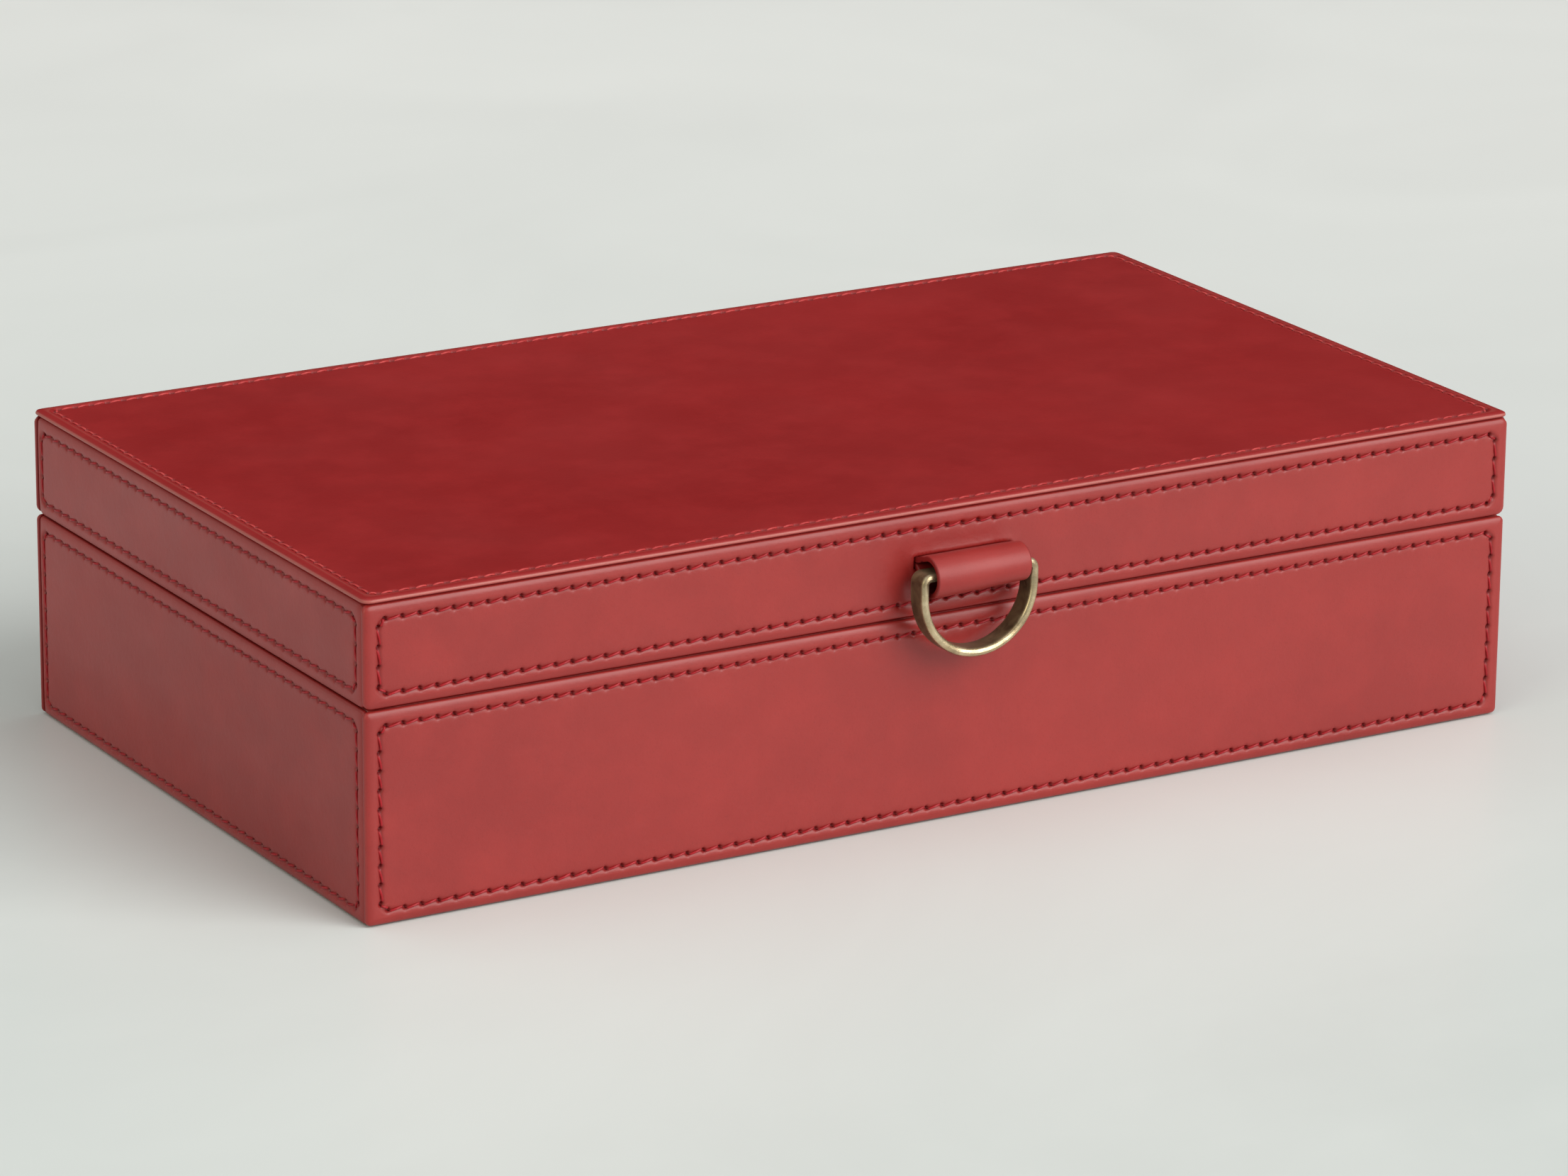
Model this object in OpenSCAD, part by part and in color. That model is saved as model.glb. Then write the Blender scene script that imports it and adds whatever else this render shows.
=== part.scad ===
// Leather jewellery case: a hinged, leather-panelled box with a D-ring pull,
// a mirrored lid and a suede-lined inside with a sliding ring tray.
// Millimetres. X runs along the width, -Y is the front, +Z is up.
// The origin is the middle of the case's footprint, on the face it stands on.

/* [Case] */
// Outer width of the case
case_w = 305; // [295:1:320]
// Outer depth of the case, front leather to back leather
case_d = 171; // [165:1:180]
// Outer height of the closed case
case_h = 75.8; // [75:0.1:82]
// Height of the middle of the seam between base and lid
seam_z = 50; // [49:0.5:52]
// Width of the groove between the base leather and the lid leather
seam_groove = 0.5; // [0.4:0.1:1.2]

/* [Leather and boards] */
// Thickness of the front, back and side leather
leather_t = 1.6; // [1.2:0.1:2]
// Thickness of the leather on the top of the lid
top_leather_t = 1.2; // [1.2:0.1:2]
// Thickness of the wall boards
board_t = 5; // [4:0.5:6]
// Thickness of the bottom board and of the lid's top board
plate_t = 3; // [2.5:0.5:4]
// Thickness of the felt under the case
felt_t = 1; // [0.8:0.1:1.5]
// Thickness of the leather strips that cover the rims
trim_t = 1; // [0.8:0.1:1.2]
// Free height between the two closed rims
rim_gap = 0.3; // [0.2:0.1:0.5]

/* [Inside] */
// Thickness of the suede-covered wall linings
lining_t = 1.4; // [1:0.1:2]
// Thickness of the padded floor
floor_pad_t = 1.5; // [1:0.1:2.5]
// Top of the rails that carry the tray, above the table
rail_top = 26.5; // [24:0.5:28]
// Width of each tray rail
rail_w = 4; // [3:0.5:5]
// Thickness of the compartment dividers and the tray walls
divider_t = 3; // [2.5:0.5:4]

/* [Tray] */
// Length of the sliding tray along the case
tray_len = 142; // [130:1:143]
// Height of the tray
tray_h = 21.5; // [19:0.5:21.5]
// Diameter of one ring roll
roll_d = 13.4; // [12:0.2:13.6]
// Height of one ring roll
roll_h = 16.8; // [14:0.2:17]
// Number of ring rolls
roll_n = 7; // [5:1:7]

/* [Mirror] */
// Width of the mirror glass
mirror_w = 236; // [200:1:250]
// Depth of the mirror glass
mirror_d = 111; // [90:1:120]
// Width of the frame's lip over the edge of the glass
mirror_lip = 3; // [2:0.5:4]

/* [D-ring pull] */
// Outer radius of the ring's bow
ring_r = 15.65; // [14:0.05:17]
// Thickness of the ring's band
ring_t = 2.1; // [1.8:0.1:2.5]
// Width of the ring's band
ring_b = 5.8; // [5.4:0.1:6.2]
// Height of the ring's straight bar above the middle of the bow
ring_bar = 4.8; // [4:0.1:6]
// Height of the pull's axis above the table
pull_z = 61.5; // [60:0.1:62]
// Outer radius of the leather loop
loop_r = 5.0; // [4.8:0.05:5.2]
// Width of the leather loop
loop_w = 25; // [20:0.5:25.5]
// Thickness of the leather strap
strap_t = 1.3; // [1.1:0.1:1.4]

/* [Hinges] */
// Length of each hinge
hinge_len = 34; // [30:1:40]
// Distance from the middle of the case to the middle of each hinge
hinge_x = 92; // [70:1:110]
// Thickness of the hinge leaves
leaf_t = 1; // [0.8:0.1:1]
// Outer radius of the hinge barrel
barrel_r = 2.1; // [1.9:0.1:2.1]
// Radius of the hinge pin
pin_r = 1; // [0.9:0.05:1.1]
// Angle at which the stop in the barrel holds the open lid
open_angle = 95; // [90:1:100]

/* [Hidden] */
$fn = 64;
eps = 0.05;
w2 = case_w / 2;
d2 = case_d / 2;
// leather edges either side of the seam
base_edge = seam_z - seam_groove / 2;
lid_edge = seam_z + seam_groove / 2;
// rims: the top of the base trim and the underside of the lid trim
base_rim = seam_z - rim_gap / 2;
lid_rim = seam_z + rim_gap / 2;
base_board_top = base_rim - trim_t;
lid_board_bot = lid_rim + trim_t;
// board faces
bx = w2 - leather_t;
by = d2 - leather_t;
ix = bx - board_t;
iy = by - board_t;
// lining faces: the free inside
lx = ix - lining_t;
ly = iy - lining_t;
skirt_z = 0.3;
bottom_z = felt_t;
floor_z = felt_t + plate_t;
pad_top = floor_z + floor_pad_t;
top_z = case_h - top_leather_t;
roof_z = top_z - plate_t;
mirror_t = 2;
frame_lip_t = 1.5;
mirror_bot = roof_z - mirror_t;
frame_bot = mirror_bot - frame_lip_t;
// hinge
axis_y = d2 + barrel_r + 0.3;
axis_z = seam_z;
screw_y = by - board_t / 2;
screw_r = 0.9;
screw_dx = 11;
knuckle_gap = 0.3;
stop_len = 5;
knuckle_len = (hinge_len - stop_len - 4 * knuckle_gap) / 4;
// pull
pull_y = -d2 - 5.35;
ring_c = pull_z - ring_bar;
strap_slot = 2 * strap_t + 0.2;
loop_z = pull_z - 0.5;
tail_z0 = loop_z + 0.7;
tail_z1 = tail_z0 + 2 * strap_t;
flange_h = 14;
flange_w = loop_w;
flange_pocket = 1.9;
// tray
tray_x0 = -lx + 0.5;
tray_x1 = tray_x0 + tray_len;
tray_y = ly - 0.6;
tray_z0 = rail_top + 0.2;
tray_floor_t = 2;
tray_pad_t = 1;
tray_top = tray_z0 + tray_h;
tray_floor = tray_z0 + tray_floor_t;
tray_pad_top = tray_floor + tray_pad_t;
tray_iy = tray_y - divider_t;
tray_ix0 = tray_x0 + divider_t;
tray_ix1 = tray_x1 - divider_t;
roll_pitch = roll_d + 0.1;
rolls_y1 = -tray_iy + roll_n * roll_pitch + 0.6;
split = (tray_ix1 - tray_ix0 - 2 * divider_t) / 3;
low_div_top = rail_top - 2;

// Box from its lowest corner a to its highest corner b
module slab(a, b) { translate(a) cube([b[0] - a[0], b[1] - a[1], b[2] - a[2]]); }

// Both hinge positions
module at_hinges() { for (s = [-1, 1]) translate([s * hinge_x, 0, 0]) children(); }

// The seat that both leaves of one hinge need in whatever the rims carry
module leaf_seats() { at_hinges() slab([-hinge_len / 2 - 0.1, iy, base_board_top], [hinge_len / 2 + 0.1, d2 + 1, lid_board_bot]); }

// Pilot holes for the screws of both hinges, from z0 to z1
module pilots(z0, z1) {
  at_hinges() for (i = [-1, 0, 1])
    translate([i * screw_dx, screw_y, z0]) cylinder(h = z1 - z0, r = screw_r + 0.05);
}

// ---- base carcass ----
module base_front_board() { color("burlywood") slab([-bx, -by, bottom_z], [bx, -iy, base_board_top]); }
module base_back_board() {
  color("burlywood") difference() {
    slab([-bx, iy, bottom_z], [bx, by, base_board_top]);
    pilots(base_board_top - 9, base_board_top + 1);
  }
}
module base_side_board(s) {
  color("burlywood") slab([s > 0 ? ix : -bx, -iy, bottom_z], [s > 0 ? bx : -ix, iy, base_board_top]);
}
module base_bottom_board() { color("burlywood") slab([-ix, -iy, bottom_z], [ix, iy, floor_z]); }

// ---- base leather: front and back lap over the ends of the sides ----
module base_front_leather() { color("firebrick") slab([-w2, -d2, skirt_z], [w2, -by, base_edge]); }
module base_back_leather() {
  color("firebrick") difference() {
    slab([-w2, by, skirt_z], [w2, d2, base_edge]);
    leaf_seats();
  }
}
module base_side_leather(s) {
  color("firebrick") slab([s > 0 ? bx : -w2, -by, skirt_z], [s > 0 ? w2 : -bx, by, base_edge]);
}
module underside_felt() { color("saddlebrown") slab([-bx, -by, 0], [bx, by, felt_t]); }

// ---- rim strips ----
module rim_trim(z) {
  difference() {
    slab([-bx, -by, z], [bx, by, z + trim_t]);
    slab([-lx, -ly, z - 1], [lx, ly, z + trim_t + 1]);
    leaf_seats();
  }
}
module base_rim_trim() { color("firebrick") rim_trim(base_board_top); }
module lid_rim_trim() { color("firebrick") rim_trim(lid_rim); }

// ---- base lining and compartments ----
module lining_long(s, z0, z1) { color("tan") slab([-ix, s > 0 ? ly : -iy, z0], [ix, s > 0 ? iy : -ly, z1]); }
module lining_short(s, z0, z1) { color("tan") slab([s > 0 ? lx : -ix, -ly, z0], [s > 0 ? ix : -lx, ly, z1]); }
module base_floor_pad() { color("tan") slab([-lx, -ly, floor_z], [lx, ly, pad_top]); }
module tray_rails() {
  color("tan") {
    slab([-lx, -ly, pad_top], [lx, -ly + rail_w, rail_top]);
    slab([-lx, ly - rail_w, pad_top], [lx, ly, rail_top]);
  }
}
module divider_centre() { color("tan") slab([-divider_t / 2, -ly + rail_w, pad_top], [divider_t / 2, ly - rail_w, low_div_top]); }
module divider_left() { color("tan") slab([-72 - divider_t / 2, -ly + rail_w, pad_top], [-72 + divider_t / 2, ly - rail_w, low_div_top]); }
module divider_right_long() { color("tan") slab([divider_t / 2, 8, pad_top], [lx, 8 + divider_t, low_div_top]); }
module divider_right_short() { color("tan") slab([72, 8 + divider_t, pad_top], [72 + divider_t, ly - rail_w, low_div_top]); }

// ---- lid carcass ----
module lid_top_board() { color("burlywood") slab([-bx, -by, roof_z], [bx, by, top_z]); }
module lid_front_board() {
  color("burlywood") difference() {
    slab([-bx, -by, lid_board_bot], [bx, -iy, roof_z]);
    strap_slot_cut();
    // pocket for the strap's spread tails
    slab([-flange_w / 2 - 0.3, -iy - flange_pocket, tail_z0 + strap_t - flange_h / 2 - 0.3],
         [flange_w / 2 + 0.3, -iy + 1, tail_z0 + strap_t + flange_h / 2 + 0.3]);
    tack_axes() rotate([-90, 0, 0]) translate([0, 0, -2.6]) cylinder(h = 4, r = 0.5);
  }
}
module lid_back_board() {
  color("burlywood") difference() {
    slab([-bx, iy, lid_board_bot], [bx, by, roof_z]);
    pilots(lid_board_bot - 1, lid_board_bot + 9);
  }
}
module lid_side_board(s) {
  color("burlywood") slab([s > 0 ? ix : -bx, -iy, lid_board_bot], [s > 0 ? bx : -ix, iy, roof_z]);
}

// ---- lid leather ----
module lid_top_leather() { color("darkred") slab([-w2, -d2, top_z], [w2, d2, case_h]); }
module strap_slot_cut() {
  slab([-loop_w / 2 - 0.2, -d2 - 1, tail_z0 - 0.1], [loop_w / 2 + 0.2, -iy + 1, tail_z1 + 0.1]);
}
module lid_front_leather() {
  color("firebrick") difference() {
    slab([-w2, -d2, lid_edge], [w2, -by, top_z]);
    strap_slot_cut();
  }
}
module lid_back_leather() {
  color("firebrick") difference() {
    slab([-w2, by, lid_edge], [w2, d2, top_z]);
    leaf_seats();
  }
}
module lid_side_leather(s) {
  color("firebrick") slab([s > 0 ? bx : -w2, -by, lid_edge], [s > 0 ? w2 : -bx, by, top_z]);
}

// ---- mirror ----
module mirror_glass() { color("lightblue") slab([-mirror_w / 2, -mirror_d / 2, mirror_bot], [mirror_w / 2, mirror_d / 2, roof_z]); }
module mirror_frame() {
  color("tan") difference() {
    slab([-ix, -iy, frame_bot], [ix, iy, roof_z]);
    slab([-mirror_w / 2 - 0.2, -mirror_d / 2 - 0.2, mirror_bot], [mirror_w / 2 + 0.2, mirror_d / 2 + 0.2, roof_z + 1]);
    slab([-mirror_w / 2 + mirror_lip, -mirror_d / 2 + mirror_lip, frame_bot - 1],
         [mirror_w / 2 - mirror_lip, mirror_d / 2 - mirror_lip, mirror_bot + 1]);
  }
}

// ---- hinges ----
// A cylinder along X round the hinge axis, from x0 to x1
module along_axis(x0, x1, r) {
  translate([x0, axis_y, axis_z]) rotate([0, 90, 0]) cylinder(h = x1 - x0, r = r);
}
// Wedge round the hinge axis from angle a0 to a1, measured from +Y towards +Z
module wedge(x0, x1, a0, a1) {
  r = 8;
  n = 8;
  translate([x0, axis_y, axis_z]) rotate([90, 0, 90]) linear_extrude(x1 - x0)
    polygon(concat([[0, 0]], [for (i = [0:n]) r * [cos(a0 + (a1 - a0) * i / n), sin(a0 + (a1 - a0) * i / n)]]));
}
// Knuckle edges along the hinge: base, lid, stop, lid, base
k0 = -hinge_len / 2;
k1 = k0 + knuckle_len;
k2 = k1 + knuckle_gap;
k3 = k2 + knuckle_len;
k4 = k3 + knuckle_gap;
module both_ends() { children(); mirror([1, 0, 0]) children(); }
module leaf(lid) {
  z0 = lid ? lid_rim : base_rim - leaf_t;
  z1 = lid ? lid_rim + leaf_t : base_rim;
  a0 = lid ? open_angle / 2 : -172;
  a1 = lid ? 172 : -open_angle / 2 - 3;
  difference() {
    union() {
      slab([-hinge_len / 2, iy + 0.1, z0], [hinge_len / 2, d2 - 0.1, z1]);
      both_ends() {
        xa = lid ? k2 : k0;
        xb = lid ? k3 : k1;
        slab([xa, d2 - 0.2, z0], [xb, axis_y, z1]);
        along_axis(xa, xb, barrel_r);
      }
      // the half barrel of the stop: its end face meets the other leaf's at the open angle
      intersection() {
        union() {
          along_axis(-stop_len / 2 + 0.1, stop_len / 2 - 0.1, barrel_r);
          slab([-stop_len / 2 + 0.1, d2 - 0.2, z0], [stop_len / 2 - 0.1, axis_y, z1]);
        }
        wedge(-stop_len / 2, stop_len / 2, a0, a1);
      }
      // bridge from the leaf to the stop
      slab([-stop_len / 2 + 0.1, d2 - 0.2, z0], [stop_len / 2 - 0.1, d2 + 0.8, z1]);
    }
    along_axis(-hinge_len / 2 - 1, hinge_len / 2 + 1, pin_r + (lid ? 0.06 : 0.02));
    for (i = [-1, 0, 1]) translate([i * screw_dx, screw_y, 0]) {
      translate([0, 0, z0 - 1]) cylinder(h = leaf_t + 2, r = screw_r + 0.1);
      if (lid) translate([0, 0, z0 - 0.01]) cylinder(h = leaf_t * 0.9, r1 = 2 + 0.06, r2 = screw_r + 0.1);
      else translate([0, 0, z1 - leaf_t * 0.9 + 0.01]) cylinder(h = leaf_t * 0.9, r1 = screw_r + 0.1, r2 = 2 + 0.06);
    }
  }
}
module hinge_leaf(s, lid) { color("darkgoldenrod") translate([s * hinge_x, 0, 0]) leaf(lid); }
module hinge_pins() {
  color("darkgoldenrod") at_hinges() {
    along_axis(-hinge_len / 2 - 0.1, hinge_len / 2 + 0.1, pin_r);
    both_ends() along_axis(-hinge_len / 2 - 0.6, -hinge_len / 2, pin_r * 1.5);
  }
}
// Countersunk screw, head up, top of the head at z = 0
module screw() {
  translate([0, 0, -8.4]) cylinder(h = 1.6, r1 = 0.15, r2 = screw_r);
  translate([0, 0, -6.8]) cylinder(h = 6.8, r = screw_r);
  difference() {
    translate([0, 0, -leaf_t * 0.9]) cylinder(h = leaf_t * 0.9 - 0.05, r1 = screw_r, r2 = 1.95);
    slab([-2.2, -0.25, -0.45], [2.2, 0.25, 1]);
  }
}
module base_hinge_screws() {
  color("darkgoldenrod") at_hinges() for (i = [-1, 0, 1]) translate([i * screw_dx, screw_y, base_rim]) rotate([0, 0, 20 * i]) screw();
}
module lid_hinge_screws() {
  color("darkgoldenrod") at_hinges() for (i = [-1, 0, 1]) translate([i * screw_dx, screw_y, lid_rim]) mirror([0, 0, 1]) rotate([0, 0, -25 * i]) screw();
}

// ---- pull ----
// The strap in side view, Y to the right and Z up, round the pull's axis
module pull_strap() {
  color("firebrick") difference() {
    translate([-loop_w / 2, 0, 0]) rotate([90, 0, 90]) linear_extrude(loop_w) difference() {
      union() {
        translate([pull_y, loop_z]) circle(r = loop_r);
        // the two layers that run back through the slot
        translate([pull_y, tail_z0]) square([-iy - pull_y - flange_pocket + 0.01, 2 * strap_t]);
        // the outer layer easing from the loop down to the slot
        polygon([[pull_y + 0.4, loop_z + loop_r - 0.1], [pull_y + 2.2, loop_z + loop_r - 0.75],
                 [-d2 - 0.7, tail_z1 + 0.15], [-d2 - 0.2, tail_z1], [-d2 - 0.2, tail_z1 - 1], [pull_y + 0.4, tail_z1 - 1]]);
        // the spread tails in the board's pocket
        translate([-iy - flange_pocket, tail_z0 + strap_t - flange_h / 2]) square([strap_t, flange_h]);
      }
      translate([pull_y, loop_z]) circle(r = loop_r - strap_t);
    }
    tack_axes() rotate([-90, 0, 0]) translate([0, 0, -3]) cylinder(h = 4, r = 0.5);
  }
}
module tack_axes() {
  for (x = [-8, 8], z = [-4.4, 4.4]) translate([x, -iy - flange_pocket + strap_t, tail_z0 + strap_t + z]) children();
}
module strap_tacks() {
  color("darkgoldenrod") tack_axes() rotate([-90, 0, 0]) {
    cylinder(h = 0.5, r = 1.5);
    translate([0, 0, -2.2]) cylinder(h = 2.3, r = 0.45);
  }
}
// Outline of a D: a half-circle bow below, straight arms and a flat top with rounded corners
module d_outline(r, top, corner) {
  intersection() {
    circle(r = r, $fn = 96);
    translate([-r - 1, -r - 1]) square([2 * r + 2, r + 1]);
  }
  translate([-r, -0.01]) square([2 * r, top - corner + 0.01]);
  translate([-r + corner, 0]) square([2 * (r - corner), top]);
  for (s = [-1, 1]) translate([s * (r - corner), top - corner]) circle(r = corner, $fn = 32);
}
module d_ring() {
  color("darkkhaki") translate([0, pull_y + ring_b / 2, ring_c]) rotate([90, 0, 0]) linear_extrude(ring_b) difference() {
    d_outline(ring_r, ring_bar + ring_t / 2, 2.4);
    d_outline(ring_r - ring_t, ring_bar - ring_t / 2, 0.5);
  }
}

// ---- tray ----
module tray_bottom() { color("tan") slab([tray_x0, -tray_y, tray_z0], [tray_x1, tray_y, tray_floor]); }
module tray_wall_long(s) { color("tan") slab([tray_x0, s > 0 ? tray_iy : -tray_y, tray_floor], [tray_x1, s > 0 ? tray_y : -tray_iy, tray_top]); }
module tray_wall_short(s) {
  color("tan") difference() {
    slab([s > 0 ? tray_ix1 : tray_x0, -tray_iy, tray_floor], [s > 0 ? tray_x1 : tray_ix0, tray_iy, tray_top]);
    // finger scoop over the small compartments
    translate([(s > 0 ? tray_x1 : tray_x0) - 10, (rolls_y1 + divider_t + tray_iy) / 2, tray_top + 5])
      rotate([0, 90, 0]) cylinder(h = 20, r = 12);
  }
}
module tray_floor_pad() { color("tan") slab([tray_ix0, -tray_iy, tray_floor], [tray_ix1, tray_iy, tray_pad_top]); }
module tray_long_divider() { color("tan") slab([tray_ix0, rolls_y1, tray_pad_top], [tray_ix1, rolls_y1 + divider_t, tray_top - 1.5]); }
module tray_short_dividers() {
  color("tan") for (i = [0, 1]) {
    x = tray_ix0 + split + i * (split + divider_t);
    slab([x, rolls_y1 + divider_t, tray_pad_top], [x + divider_t, tray_iy, tray_top - 1.5]);
  }
}
module ring_rolls() {
  color("bisque") for (i = [0:roll_n - 1])
    translate([tray_ix0 + 0.3, -tray_iy + 0.3 + roll_pitch * (i + 0.5), tray_pad_top])
      rotate([90, 0, 90]) linear_extrude(tray_ix1 - tray_ix0 - 0.6) hull()
        for (z = [roll_d / 2, roll_h - roll_d / 2]) translate([0, z]) circle(r = roll_d / 2, $fn = 32);
}

base_front_board();
base_back_board();
base_side_board(-1);  // base_left_board
base_side_board(1);  // base_right_board
base_bottom_board();
base_front_leather();
base_back_leather();
base_side_leather(-1);  // base_left_leather
base_side_leather(1);  // base_right_leather
underside_felt();
base_rim_trim();
lining_long(-1, floor_z, base_board_top);  // base_lining_front
lining_long(1, floor_z, base_board_top);  // base_lining_back
lining_short(-1, floor_z, base_board_top);  // base_lining_left
lining_short(1, floor_z, base_board_top);  // base_lining_right
base_floor_pad();
tray_rails();
divider_centre();
divider_left();
divider_right_long();
divider_right_short();
hinge_leaf(-1, false);  // left_hinge_base_leaf
hinge_leaf(1, false);  // right_hinge_base_leaf
hinge_pins();
base_hinge_screws();
lid_top_board();
lid_front_board();
lid_back_board();
lid_side_board(-1);  // lid_left_board
lid_side_board(1);  // lid_right_board
lid_top_leather();
lid_front_leather();
lid_back_leather();
lid_side_leather(-1);  // lid_left_leather
lid_side_leather(1);  // lid_right_leather
lid_rim_trim();
lining_long(-1, lid_board_bot, frame_bot);  // lid_lining_front
lining_long(1, lid_board_bot, frame_bot);  // lid_lining_back
lining_short(-1, lid_board_bot, frame_bot);  // lid_lining_left
lining_short(1, lid_board_bot, frame_bot);  // lid_lining_right
mirror_glass();
mirror_frame();
hinge_leaf(-1, true);  // left_hinge_lid_leaf
hinge_leaf(1, true);  // right_hinge_lid_leaf
lid_hinge_screws();
pull_strap();
strap_tacks();
d_ring();
tray_bottom();
tray_wall_long(-1);  // tray_front_wall
tray_wall_long(1);  // tray_back_wall
tray_wall_short(-1);  // tray_left_wall
tray_wall_short(1);  // tray_right_wall
tray_floor_pad();
tray_long_divider();
tray_short_dividers();
ring_rolls();
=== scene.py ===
import bpy, bmesh, math, random
from mathutils import Vector, Matrix, noise
from mathutils.geometry import delaunay_2d_cdt


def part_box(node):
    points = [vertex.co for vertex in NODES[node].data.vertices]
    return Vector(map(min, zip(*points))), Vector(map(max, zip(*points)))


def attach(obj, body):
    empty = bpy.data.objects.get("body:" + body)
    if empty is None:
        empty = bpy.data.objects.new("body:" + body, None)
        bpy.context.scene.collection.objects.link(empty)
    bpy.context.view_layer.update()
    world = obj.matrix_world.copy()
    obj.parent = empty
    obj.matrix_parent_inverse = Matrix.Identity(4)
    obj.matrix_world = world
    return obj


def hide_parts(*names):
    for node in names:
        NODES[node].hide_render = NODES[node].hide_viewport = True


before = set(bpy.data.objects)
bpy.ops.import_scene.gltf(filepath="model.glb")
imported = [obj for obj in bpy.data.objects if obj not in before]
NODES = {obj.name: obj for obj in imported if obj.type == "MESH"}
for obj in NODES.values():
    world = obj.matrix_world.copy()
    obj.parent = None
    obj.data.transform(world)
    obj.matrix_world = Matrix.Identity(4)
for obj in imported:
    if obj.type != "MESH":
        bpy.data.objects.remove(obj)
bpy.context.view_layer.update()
MM = 0.001
COLL = bpy.context.scene.collection


def nb(node):
    """A node's box in millimetres."""
    lo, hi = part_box(node)
    return [v * 1000 for v in lo], [v * 1000 for v in hi]


def smooth(a, b, x):
    t = max(0.0, min(1.0, (x - a) / (b - a)))
    return t * t * (3 - 2 * t)


# ------------------------------------------------------------------ materials
class NT:
    """Small helper that builds a node tree."""

    def __init__(self, name):
        m = bpy.data.materials.new(name)
        m.use_nodes = True
        self.m = m
        self.t = m.node_tree
        self.t.nodes.clear()
        self.out = self.t.nodes.new("ShaderNodeOutputMaterial")
        self.bsdf = self.t.nodes.new("ShaderNodeBsdfPrincipled")
        self.link(self.bsdf.outputs[0], self.out.inputs["Surface"])
        self.co = self.t.nodes.new("ShaderNodeTexCoord").outputs["Object"]

    def link(self, a, b):
        self.t.links.new(a, b)

    def set(self, **kw):
        for k, v in kw.items():
            self.bsdf.inputs[k.replace("_", " ")].default_value = v

    def mapping(self, scale=(1, 1, 1), rot=(0, 0, 0)):
        n = self.t.nodes.new("ShaderNodeMapping")
        n.inputs["Scale"].default_value = scale
        n.inputs["Rotation"].default_value = rot
        self.link(self.co, n.inputs["Vector"])
        return n.outputs[0]

    def noise(self, scale, detail=4.0, rough=0.55, vec=None, dist=0.0):
        n = self.t.nodes.new("ShaderNodeTexNoise")
        n.inputs["Scale"].default_value = scale
        n.inputs["Detail"].default_value = detail
        n.inputs["Roughness"].default_value = rough
        n.inputs["Distortion"].default_value = dist
        self.link(vec or self.co, n.inputs["Vector"])
        return n.outputs["Fac"]

    def voronoi(self, scale, feature="F1", vec=None, rand=1.0):
        n = self.t.nodes.new("ShaderNodeTexVoronoi")
        n.feature = feature
        n.inputs["Scale"].default_value = scale
        n.inputs["Randomness"].default_value = rand
        self.link(vec or self.co, n.inputs["Vector"])
        return n.outputs["Distance"]

    def wave(self, scale, dist=0.0, vec=None, direction="X", detail=1.0):
        n = self.t.nodes.new("ShaderNodeTexWave")
        n.bands_direction = direction
        n.inputs["Scale"].default_value = scale
        n.inputs["Distortion"].default_value = dist
        n.inputs["Detail"].default_value = detail
        self.link(vec or self.co, n.inputs["Vector"])
        return n.outputs["Fac"]

    def attr(self, name):
        n = self.t.nodes.new("ShaderNodeAttribute")
        n.attribute_name = name
        return n.outputs["Fac"]

    def ramp(self, fac, stops):
        n = self.t.nodes.new("ShaderNodeValToRGB")
        r = n.color_ramp
        r.elements[0].position, r.elements[0].color = stops[0][0], (*stops[0][1], 1)
        r.elements[1].position, r.elements[1].color = stops[-1][0], (*stops[-1][1], 1)
        for p, c in stops[1:-1]:
            e = r.elements.new(p)
            e.color = (*c, 1)
        self.link(fac, n.inputs["Fac"])
        return n.outputs["Color"]

    def maprange(self, v, a, b, c, d):
        n = self.t.nodes.new("ShaderNodeMapRange")
        for k, x in zip(("From Min", "From Max", "To Min", "To Max"), (a, b, c, d)):
            n.inputs[k].default_value = x
        self.link(v, n.inputs["Value"])
        return n.outputs["Result"]

    def math(self, op, a, b=None):
        n = self.t.nodes.new("ShaderNodeMath")
        n.operation = op
        for i, v in enumerate((a, b)):
            if v is None:
                continue
            if isinstance(v, (int, float)):
                n.inputs[i].default_value = v
            else:
                self.link(v, n.inputs[i])
        return n.outputs[0]

    def mix(self, fac, a, b, mode="MIX"):
        n = self.t.nodes.new("ShaderNodeMix")
        n.data_type = "RGBA"
        n.blend_type = mode
        for i, v in ((0, fac), (6, a), (7, b)):
            if isinstance(v, (int, float)):
                n.inputs[i].default_value = v
            elif isinstance(v, tuple):
                n.inputs[i].default_value = (*v, 1)
            else:
                self.link(v, n.inputs[i])
        return n.outputs[2]

    def bump(self, height, dist, strength=1.0, normal=None):
        n = self.t.nodes.new("ShaderNodeBump")
        n.inputs["Distance"].default_value = dist
        n.inputs["Strength"].default_value = strength
        self.link(height, n.inputs["Height"])
        if normal is not None:
            self.link(normal, n.inputs["Normal"])
        return n.outputs[0]

    def color(self, c):
        self.link(c, self.bsdf.inputs["Base Color"])

    def rough(self, v):
        self.link(v, self.bsdf.inputs["Roughness"])

    def normal(self, v):
        self.link(v, self.bsdf.inputs["Normal"])


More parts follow.
